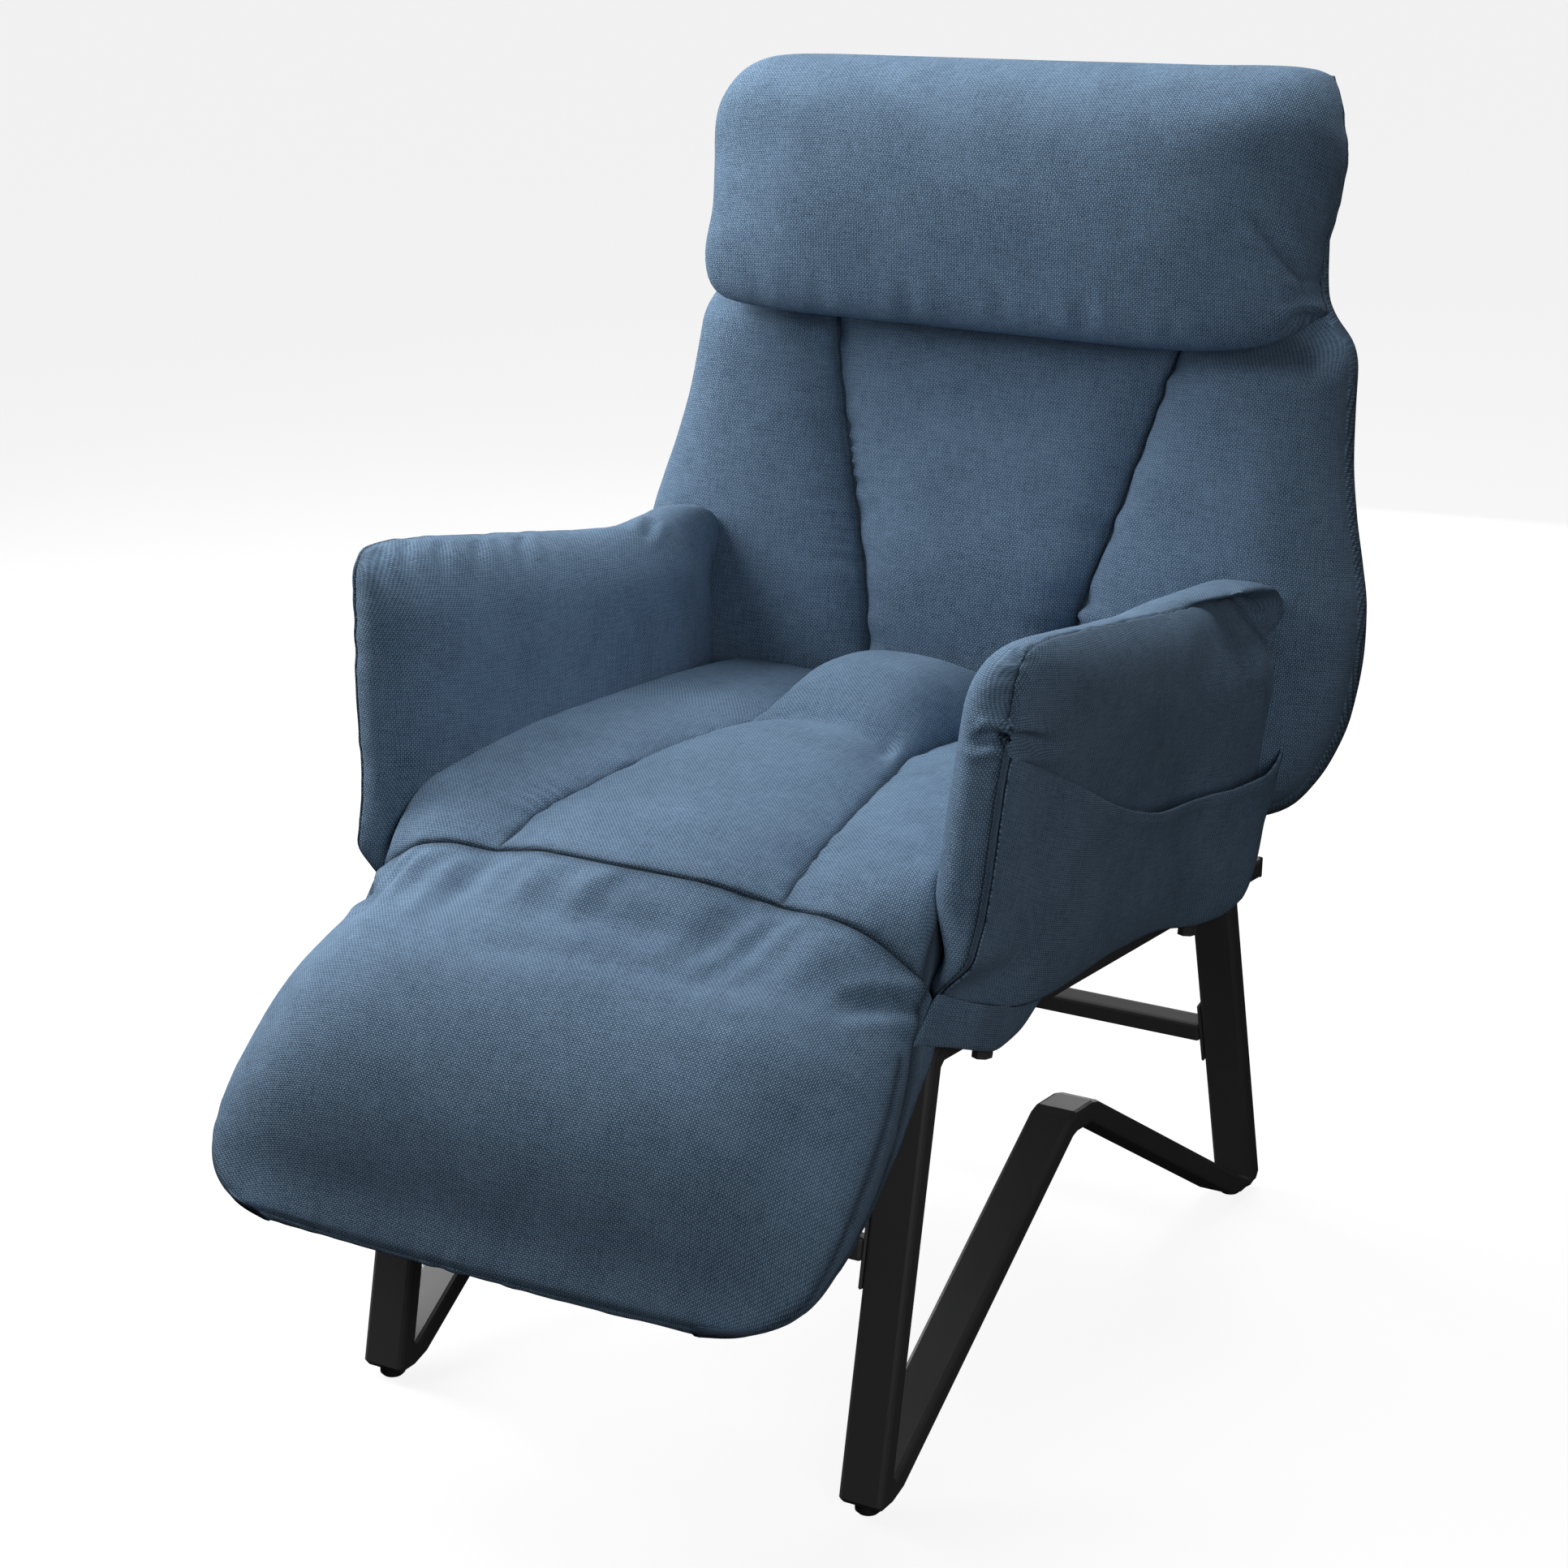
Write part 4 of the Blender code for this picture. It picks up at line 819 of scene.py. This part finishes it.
# bend the columns so that one pair runs along the pad seams
a = np.abs(gx)
k = pad_line(sy)
sx = np.sign(gx) * np.where(a < 0.128, k * a / 0.128, k + (SW - k) * (a - 0.128) / (SW - 0.128))
width = curve([(0.0, 0.264), (0.10, 0.252), (0.20, 0.244), (0.40, 0.238), (0.58, 0.232)])
sx = sx * width(sy) / SW
crest = curve([(0.0, 0.514), (0.05, 0.522), (0.10, 0.530), (0.20, 0.541), (0.28, 0.548), (0.32, 0.551), (0.37, 0.560),
               (0.43, 0.570), (0.48, 0.566), (0.53, 0.548), (0.58, 0.522)])
line = dense([(float(pad_line(q)), q) for q in np.linspace(0.0, 0.56, 24)])
d_pad, s_pad = to_line(np.abs(sx), sy, line)
cross = dense([(-0.100, 0.318), (-0.05, 0.336), (0.0, 0.342), (0.05, 0.336), (0.100, 0.318)])
d_cross, _ = to_line(sx, sy, cross)
ax = np.abs(sx)
side_z = curve([(0.0, 0.482), (0.033, 0.496), (0.10, 0.514), (0.17, 0.522), (0.24, 0.526), (0.35, 0.523), (0.466, 0.516), (0.58, 0.505)])
kx = pad_line(sy) * width(sy) / SW
wx = width(sy)
z_mid, z_out = crest(sy), side_z(sy)
z_sew = np.minimum(z_mid - 0.028, z_out - 0.010)
q_mid = np.clip(ax / kx, 0, 1)
q_out = np.clip((ax - kx) / (wx - kx), 0, 1)
mid = z_sew + (z_mid - z_sew) * np.clip(1 - q_mid ** 2.6, 0, 1) ** 0.62
out = z_sew + (z_out + 0.004 - z_sew) * rise(q_out, 0.42) - 0.022 * (1 - rise(1 - q_out, 0.10))
z = np.where(ax < kx, mid, out) - 0.022 * np.exp(-d_cross / 0.026) * smooth((kx - ax) / 0.02)
# rounds down to the front seam
d_front = sy - y0
zs = seam_z(np.abs(gx))
z = zs + (z - zs) * rise(d_front, 0.060) ** 1.35
top = np.stack([sx, sy - YM, z], -1)
under = np.stack([sx * 0.985, np.maximum(sy, 0.060) - YM, 0.388 - 0.0586 * (sy - 0.085) + 0.012 + 0 * sx], -1)
pads = np.zeros(gx.shape, bool)
for c in (-0.128, 0.128):
    pads[np.argmin(np.abs(X - c))] = True
pads &= sy > 0.030
seat_obj, pins = pad("seat_cushion_cover", top, under, pads, None, np.ones(gx.shape))
inflate(seat_obj, pins, pressure=1.5, slack=0.002, cap=0.006, frames=16)
refine(seat_obj, 0.0008)
seam_wrinkles(seat_obj, 0.0008, 0.010, 0.013, 31.0)


def seat_local(co):
    return co[:, 0], co[:, 1] + YM, np.where(co[:, 2] > 0.44, 0.0, 1.0)


pucker(seat_obj, 0.0026, 0.014, 0.034, lambda q: pad_line(q) * width(q) / SW, seat_local, 8.0)
finish_soft(seat_obj, FABRIC)
soft(seat_obj, "base", ["seat_cushion"])

# -------------------------------------------------------------------- foot rest
FP = (0.055, 0.400)
FC, FS = math.cos(math.radians(40.0)), math.sin(math.radians(40.0))


def foot_at(x, s, n):
    return np.stack([x + 0 * s, FP[0] - s * FC - n * FS - YM, FP[1] - s * FS + n * FC], -1)


def foot_sn(y, z):
    return -(y - FP[0]) * FC - (z - FP[1]) * FS, -(y - FP[0]) * FS + (z - FP[1]) * FC


foot_w = curve([(-0.045, 0.262), (0.0, 0.263), (0.05, 0.270), (0.10, 0.277), (0.15, 0.282), (0.20, 0.284), (0.240, 0.280),
                (0.263, 0.270), (0.281, 0.250), (0.290, 0.229), (0.295, 0.204)])
foot_n = curve([(-0.040, 0.108), (-0.02, 0.1135), (0.0, 0.118), (0.04, 0.123), (0.08, 0.123), (0.12, 0.1205), (0.16, 0.1135), (0.20, 0.100),
                (0.235, 0.080), (0.26, 0.060), (0.296, 0.036)])
SE = 0.295
ue = 0.16
U = join(edge(-1, ue, 7), span(-1 + ue, 1 - ue, 66), edge(1, ue, 7, -1)[::-1])
V = join(span(0, 0.06, 4), span(0.06, 0.90, 40), 1 - edge(0, 0.10, 8)[::-1])
gu, gv = np.meshgrid(U, V, indexing="ij")
fx0 = np.abs(gu) * 0.262
s0, n0 = foot_sn(seam_y(fx0), seam_z(fx0))
fs_ = s0 + (SE - s0) * gv
w_here = foot_w(fs_)
fx = gu * w_here - 0.006 * smooth((fs_ - 0.01) / 0.20)
d_sd = (1 - np.abs(gu)) * w_here
d_lo = SE - fs_
hs = np.clip(1 - np.abs(gu) ** 5, 0, 1) ** 0.5
he = np.clip(1 - np.clip((fs_ - 0.10) / (SE - 0.10), 0, 1) ** 4, 0, 1) ** 0.5
# the edge seam lies a little above the under side
seam_n = 0.006 * smooth(fs_ / 0.06) + 0.018 * smooth((fs_ - 0.14) / 0.15)
top_n = foot_n(fs_)
blend0 = smooth((fs_ - s0 + 0.01) / 0.16)
nn = seam_n + (top_n - seam_n) * hs * he
# near the front seam the section follows the seam itself
nn = n0 * (1 - blend0) + nn * blend0
puff = 0.003 * np.sin(np.pi * np.clip((fs_ - s0) / 0.05, 0, 1)) * (1 - smooth((np.abs(gu) - 0.8) / 0.2))
fold_in = -0.003 * np.exp(-((fs_ - 0.025) / 0.018) ** 2)
ox = 0.012 * overhang(d_sd, 0.044) * he * blend0
front = foot_at(fx + np.sign(gu) * ox, fs_ + 0.007 * overhang(d_lo, 0.034) * np.clip(1 - np.abs(gu) ** 3, 0, 1), nn + (puff + fold_in) * hs * he)
# under side: down the front of the seat, then along the bottom
prof_s = curve([(0.0, -0.030), (0.10, -0.020), (0.22, 0.0), (0.30, 0.030), (1.0, SE)])
prof_n = curve([(0.0, 0.060), (0.10, 0.030), (0.22, 0.004), (0.30, -0.006), (0.6, -0.007), (0.85, -0.004), (0.95, 0.006), (1.0, 0.022)])
near = 1 - smooth(gv / 0.24)
back = foot_at(fx, prof_s(gv) * (1 - near) + (s0 + 0.004) * near,
               prof_n(gv) * (1 - near) + (n0 - 0.012 * smooth(gv / 0.02)) * near + (seam_n + 0.002) * (1 - rise(d_sd, 0.020)) * smooth((gv - 0.25) / 0.1))
# a border seam runs round the sides and the lower end, close to the edge
sew = np.zeros(gu.shape, bool)
sew[[3, -4], 12:-4] = True
sew[3:-3, -5] = True
foot_obj, pins = pad("footrest_cover", front, back, sew, None, np.ones(gu.shape))
inflate(foot_obj, pins, pressure=0.6, slack=0.001, cap=0.003, frames=14)
refine(foot_obj, 0.0011)
seam_wrinkles(foot_obj, 0.0010, 0.010, 0.013, 41.0)
# gathers that run down from the front seam
co, nr = coords(foot_obj), normals(foot_obj)
cs, cn = foot_sn(co[:, 1] + YM, co[:, 2])
dist = np.clip(cs + 0.036, 0, None)
slant = co[:, 0] + 0.25 * cs
gath = np.sin(2 * np.pi * (slant / 0.047 + 0.85 * noise2(slant * 11, cs * 7, 2.0)))
gath *= 0.55 + 0.45 * noise2(slant * 17 + 3, 0 * cs, 4.0)
env = smooth(dist / 0.018) * (1 - smooth((dist - 0.02) / (0.085 + 0.03 * noise2(slant * 12, 0 * cs, 6.0))))
up = (cn > 0.02 + 0.0 * cs) & (nr[:, 2] > 0.1)
set_coords(foot_obj, co + nr * (0.0026 * gath * env * up * (1 - smooth((np.abs(co[:, 0]) - 0.235) / 0.03)))[:, None])
crease(foot_obj, [(500, 1150), (600, 1164), (720, 1178), (840, 1204), (1000, 1222), (1090, 1232)], 0.0024, 15, 0.3, 0.3, 0.15)
crease(foot_obj, [(1010, 1250), (1080, 1238), (1143, 1240)], 0.005, 12, 0.4, 0.1, 0.5, mirrored=True)
finish_soft(foot_obj, FABRIC)
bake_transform(foot_obj)
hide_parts("footrest_cushion")

# cover under the foot rest
V = join(edge(0.040, 0.020, 4), span(0.060, 0.220, 20), edge(0.240, 0.020, 4, -1)[::-1])
U = join(edge(-1, 0.08, 4), span(-0.92, 0.92, 44), edge(1, 0.08, 4, -1)[::-1])
gu, gs = np.meshgrid(U, V, indexing="ij")
uw = curve([(0.040, 0.214), (0.060, 0.226), (0.180, 0.230), (0.225, 0.222), (0.240, 0.206)])
ux = gu * uw(gs)
bul = rise((1 - np.abs(gu)) * uw(gs), 0.02) * rise(np.minimum(gs - 0.040, 0.240 - gs), 0.02)
under_obj, pins = pad("footrest_under_cover", foot_at(ux, gs, -0.0092 - 0.007 * bul + 0.0012 * noise2(ux * 13, gs * 13, 1.0) * bul),
                      foot_at(ux, gs, -0.0092 + 0.001 * bul))
refine(under_obj)
finish_soft(under_obj, FABRIC)
soft(under_obj, "footrest", ["footrest_under_panel"])

# ------------------------------------------------------------------------- arms
front_edge = dense([(0.056, 0.430), (0.053, 0.441), (0.054, 0.455), (0.059, 0.472), (0.067, 0.492), (0.071, 0.517), (0.074, 0.550),
                    (0.077, 0.590), (0.083, 0.630), (0.088, 0.665), (0.092, 0.685), (0.101, 0.699)])
top_edge = dense([(0.101, 0.699), (0.118, 0.7045), (0.150, 0.7025), (0.190, 0.697), (0.250, 0.687), (0.327, 0.674), (0.390, 0.663),
                  (0.452, 0.6535), (0.500, 0.648), (0.541, 0.642)])
rear_edge = dense([(0.534, 0.372), (0.553, 0.387), (0.566, 0.410), (0.577, 0.443), (0.598, 0.480), (0.599, 0.530), (0.596, 0.560), (0.590, 0.587),
                   (0.577, 0.611), (0.560, 0.630), (0.541, 0.642)])
low_edge = dense([(0.056, 0.430), (0.098, 0.411), (0.147, 0.396), (0.218, 0.390), (0.292, 0.391), (0.339, 0.388), (0.387, 0.384),
                  (0.430, 0.375), (0.471, 0.366), (0.506, 0.364), (0.534, 0.372)])


def by_length(line):
    p = np.array(line)
    s = np.concatenate([[0], np.cumsum(np.hypot(*np.diff(p, axis=0).T))])
    s /= s[-1]
    return lambda q: np.stack([np.interp(q, s, p[:, 0]), np.interp(q, s, p[:, 1])], -1)


fe, re_, te, le = by_length(front_edge), by_length(rear_edge), by_length(top_edge), by_length(low_edge)


def patch(u, v):
    """Coons patch over the arm's outline; u from front to rear, v from bottom to top."""
    c00, c10, c01, c11 = le(0.0), le(1.0), te(0.0), te(1.0)
    U_, V_ = u[..., None], v[..., None]
    return ((1 - V_) * le(u) + V_ * te(u) + (1 - U_) * fe(v) + U_ * re_(v)
            - ((1 - U_) * (1 - V_) * c00 + U_ * (1 - V_) * c10 + (1 - U_) * V_ * c01 + U_ * V_ * c11))


def arm_x(y, z):
    """Outer face of the arm: leans out in front and stands upright at the rear, a little fuller low at the rear."""
    lean = 1 - 0.95 * smooth((y - 0.10) / 0.42)
    tuck = 0.026 * (1 - smooth((z - 0.425) / 0.040)) * (1 - smooth((y - 0.060) / 0.110))
    return 0.285 + 0.09 * (z - 0.41) * lean + 0.020 * smooth((y - 0.42) / 0.16) * (1 - smooth((z - 0.575) / 0.06)) - tuck


U = join(edge(0, 0.120, 9), span(0.120, 0.90, 56), edge(1, 0.10, 9, -1)[::-1])
V = join(edge(0, 0.10, 6), span(0.10, 0.80, 28), edge(1, 0.20, 10, -1)[::-1])
gu, gv = np.meshgrid(U, V, indexing="ij")
yz = patch(gu, gv)
L_u, L_v = 0.51, 0.28
du0, du1, dv0, dv1 = gu * L_u, (1 - gu) * L_u, gv * L_v, (1 - gv) * L_v
r0, r1, r2, r3 = 0.120 * L_u, 0.10 * L_u, 0.10 * L_v, 0.20 * L_v
hu = np.minimum(rise(du0, r0), rise(du1, r1))
hv_ = np.minimum(rise(dv0, r2), rise(dv1, r3))
thick = (0.056 + 0.005 * np.sin(np.pi * gv) * np.sin(np.pi * gu)) * hu * hv_
thick = thick * (1 - 0.62 * (1 - smooth((yz[..., 1] - 0.430) / 0.075)) * (1 - smooth((yz[..., 0] - 0.070) / 0.140)))
tab = smooth((gu - 0.77) / 0.15) * smooth((gv - 0.70) / 0.20)
tab_d = np.sin(np.pi * np.clip(thick / 0.058, 0, 1)) ** 0.8
oy = (-0.013 * overhang(du0, r0) * smooth(gv / 0.35) + 0.006 * overhang(du1, r1)) * hv_ + 0.046 * tab * tab_d
oz = (0.002 + 0.007 * smooth((gu - 0.55) / 0.3)) * overhang(dv1, r3) * hu + 0.003 * tab * tab_d
flare = 0.043 * tab * np.exp(-((thick / 0.058 - 0.24) / 0.20) ** 2) * smooth(thick / 0.006)
thick = thick * (1 - 0.35 * tab) - flare
ay, az = yz[..., 0] + oy, yz[..., 1] + oz
lip = curve([(0.060, 0.634), (0.083, 0.626), (0.144, 0.598), (0.203, 0.568), (0.265, 0.537), (0.318, 0.516), (0.362, 0.503),
             (0.420, 0.4955), (0.460, 0.491), (0.500, 0.487), (0.540, 0.487), (0.574, 0.495), (0.592, 0.506), (0.600, 0.516)])
above = smooth((yz[..., 1] - lip(yz[..., 0]) + 0.015) / 0.110)
outer = 0.0015 + (0.001 + 0.014 * above) * np.minimum(rise(du0, 0.05), rise(du1, 0.04)) * np.minimum(rise(dv0, 0.04), rise(dv1, 0.05))
flat_pin = (above < 0.20).astype(float)
for side, sgn in (("left", 1.0), ("right", -1.0)):
    xs = arm_x(yz[..., 0], yz[..., 1])
    front = np.stack([sgn * (xs - thick - (0.0 if sgn > 0 else 0.6) * flare), ay - YM, az], -1)
    back = np.stack([sgn * (xs + outer), yz[..., 0] - YM, yz[..., 1]], -1)
    arm_obj, pins = pad("arm_cover_" + side, front, back, None, None, flat_pin)
    inflate(arm_obj, pins, pressure=1.0, slack=0.002, cap=0.005, frames=16)
    refine(arm_obj, 0.0026)
    seam_wrinkles(arm_obj, 0.0013, 0.012, 0.013, 51.0)
    if sgn > 0:
        crease(arm_obj, [(1240, 912), (1222, 908), (1205, 915), (1190, 905)], 0.010, 8, 0.02, 0.6, 0.7)
        crease(arm_obj, [(1240, 918), (1262, 912), (1290, 918), (1315, 908)], 0.009, 9, 0.02, 0.6, 0.6)
        crease(arm_obj, [(1514, 724), (1540, 755), (1563, 786), (1571, 820), (1569, 862), (1560, 905)], 0.005, 7, 0.12, 0.3, 0.4)
        for q in ([(1262, 806), (1252, 812), (1232, 816)], [(1256, 826), (1244, 832), (1220, 838)], [(1248, 852), (1236, 858), (1212, 862)],
                  [(1280, 790), (1272, 782), (1258, 778)]):
            crease(arm_obj, q, 0.0016, 7, 0.02, 0.7, 0.5)
    else:
        for q in ([(496, 668), (500, 690), (512, 716)], [(540, 668), (546, 690), (560, 722)], [(585, 668), (592, 688), (606, 716)],
                  [(640, 662), (648, 684), (660, 708)], [(470, 675), (474, 700), (482, 735)]):
            crease(arm_obj, q, 0.0028, 8, 0.02, 0.7, 0.6)
        crease(arm_obj, [(804, 640), (800, 652), (788, 668)], 0.004, 7, 0.02, 0.6, 0.6)
    finish_soft(arm_obj, FABRIC)
    soft(arm_obj, "base", ["arm_cushion_" + side, "arm_outer_panel_" + side])

    # pocket: a panel sewn in along the front, the bottom and the rear, with an open curved lip
    pu = join(edge(0, 0.06, 5), span(0.06, 0.94, 56), edge(1, 0.06, 5, -1)[::-1])
    pv = join(span(0, 0.90, 26, True, False), span(0.90, 1, 7))
    qu, qv = np.meshgrid(pu, pv, indexing="ij")
    low = le(0.012 + 0.988 * qu)
    # front and rear ends follow the arm's seam
    f_line, r_line = np.array(front_edge), np.array(rear_edge)
    lip_y = 0.088 + (0.5985 - 0.088) * qu
    top_p = np.stack([lip_y, lip(lip_y)], -1)
    n_f = f_line[f_line[:, 1] <= 0.628]
    n_r = r_line[r_line[:, 1] <= 0.514]
    ff, rr = by_length((n_f + [0.0080, 0.0]).tolist()), by_length(n_r.tolist())
    c00, c10 = le(0.012), le(1.0)
    c01, c11 = top_p[0, 0], top_p[-1, 0]
    U_, V_ = qu[..., None], qv[..., None]
    py = ((1 - V_) * low + V_ * top_p + (1 - U_) * ff(qv) + U_ * rr(qv)
          - ((1 - U_) * (1 - V_) * c00 + U_ * (1 - V_) * c10 + (1 - U_) * V_ * c01 + U_ * V_ * c11))
    d_e = np.minimum(np.minimum(qu, 1 - qu) * 0.52, qv * 0.16 + 0.0 * qu)
    puffy = 0.0036 + 0.0031 * smooth(qu / 0.05) + 0.012 * smooth(qu / 0.30) * rise(d_e, 0.075)
    puffy = puffy + 0.004 * np.exp(-((1 - qv) / 0.18) ** 2) * smooth((qu - 0.25) / 0.4) * rise((1 - qu) * 0.5, 0.02)
    # turned hem along the lip
    puffy = puffy + 0.0016 * smooth((qv - 0.905) / 0.025) * smooth(qu / 0.04)
    px = arm_x(py[..., 0], py[..., 1]) + puffy
    sk = Skin()
    g = np.stack([sgn * px, py[..., 0] - YM, py[..., 1]], -1)
    ids = sk.points(g).reshape(qu.shape)
    sk.grid(ids, cloth_uv(g), flip=(sgn > 0))
    po = sk.object("pocket_" + side)
    sol = po.modifiers.new("thick", "SOLIDIFY")
    sol.thickness = 0.0020
    sol.offset = -1.0
    finish_soft(po, FABRIC)
    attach(po, "base")
    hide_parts("side_pocket_" + side)
    ruler = cloth_uv(g)

    # side trim below the arm's front end: a narrow wedge of cover sewn to the seat's side
    t_top = curve([(0.0, 0.052), (0.4, 0.098), (0.75, 0.147), (1.0, 0.200)])
    z_top = curve([(0.0, 0.436), (0.4, 0.415), (0.75, 0.400), (1.0, 0.392)])
    t_low = curve([(0.0, 0.016), (0.4, 0.084), (0.75, 0.143), (1.0, 0.198)])
    z_low = curve([(0.0, 0.404), (0.25, 0.390), (0.5, 0.374), (0.68, 0.365), (0.85, 0.368), (1.0, 0.386)])
    tu = span(0, 1, 30, True, False)
    tv = join(edge(0, 0.35, 5), span(0.35, 1.0, 7))
    qu, qv = np.meshgrid(tu, tv, indexing="ij")
    ty = t_low(qu) + (t_top(qu) - t_low(qu)) * qv
    tz = z_low(qu) + (z_top(qu) - z_low(qu)) * qv
    tx = 0.268 + 0.0155 * smooth(qu / 0.45) - 0.002 * (1 - qv)
    swl = 0.0045 * rise(qv, 0.4) * rise(qu, 0.15)
    trim = np.stack([sgn * (tx + swl), ty - YM, tz], -1)
    inner = np.stack([sgn * (tx - 0.003 * rise(np.minimum(qv, 1 - qv), 0.2)), ty - YM, tz], -1)
    trim_obj, _ = pad("side_trim_" + side, trim, inner)
    refine(trim_obj, 0.0)
    finish_soft(trim_obj, FABRIC)
    soft(trim_obj, "base", [])

# ---------------------------------------------------------------- stage and camera
bpy.ops.mesh.primitive_plane_add(size=80.0, location=(0, 0, 0))
floor = bpy.context.object
floor.name = "studio_floor"
fm, N, L, bsdf = new_material("studio_floor")
bsdf.inputs["Base Color"].default_value = (0.16, 0.16, 0.16, 1)
bsdf.inputs["Roughness"].default_value = 0.9
bsdf.inputs["Specular IOR Level"].default_value = 0.0
bsdf.inputs["Emission Color"].default_value = (1.0, 1.0, 1.0, 1)
bsdf.inputs["Emission Strength"].default_value = 0.88
floor.data.materials.append(fm)
# the floor shows its pale tone and takes the soft shadow, and throws no light up
floor.visible_diffuse = False
floor.visible_glossy = False

# a pale wall all round, far off, so that no view ends in the dark
bpy.ops.mesh.primitive_uv_sphere_add(segments=96, ring_count=48, radius=36.0, location=(0, 0, 0))
wall = bpy.context.object
wall.name = "studio_wall"
wm, N, L, bsdf = new_material("studio_wall")
bsdf.inputs["Base Color"].default_value = (0.0, 0.0, 0.0, 1)
bsdf.inputs["Specular IOR Level"].default_value = 0.0
bsdf.inputs["Emission Color"].default_value = (1.0, 1.0, 1.0, 1)
bsdf.inputs["Emission Strength"].default_value = 0.88
wall.data.materials.append(wm)
wall.visible_diffuse = False
wall.visible_glossy = False
wall.visible_shadow = False
wall.data.shade_smooth()

world = scene.world or bpy.data.worlds.new("studio")
scene.world = world
world.use_nodes = True
world.node_tree.nodes["Background"].inputs[0].default_value = (1, 1, 1, 1)
world.node_tree.nodes["Background"].inputs[1].default_value = 0.012


def area(name, loc, target, size, power):
    d = bpy.data.lights.new(name, "AREA")
    d.shape = "DISK"
    d.size = size
    d.energy = power
    o = bpy.data.objects.new(name, d)
    o.location = loc
    o.rotation_euler = (Vector(target) - Vector(loc)).to_track_quat("-Z", "Y").to_euler()
    scene.collection.objects.link(o)
    return o


MID = (0.0, 0.0, 0.6)
area("key", (-1.932, 0.0, 2.340), MID, 1.3, 43)
area("overhead", (0.0, 0.937, 2.918), MID, 1.3, 47)
area("near", (-0.9, -0.7, 1.7), MID, 0.8, 6.8)
area("side", (-2.705, 0.0, 1.325), MID, 1.3, 69)
area("fill", (1.912, -1.912, 1.325), MID, 1.3, 19)
area("rear", (-0.6, 3.1, 0.9), MID, 1.6, 22)

cam = bpy.data.cameras.new("photo_view")
cam.lens = 81.60
cam.sensor_width = 36.0
co = bpy.data.objects.new("photo_view", cam)
co.location = (1.46408, -2.21467 - YM, 1.42825)
co.rotation_euler = (math.radians(90 - 17.8149), 0, math.radians(30.4696))
scene.collection.objects.link(co)
scene.camera = co
scene.view_settings.view_transform = "Standard"
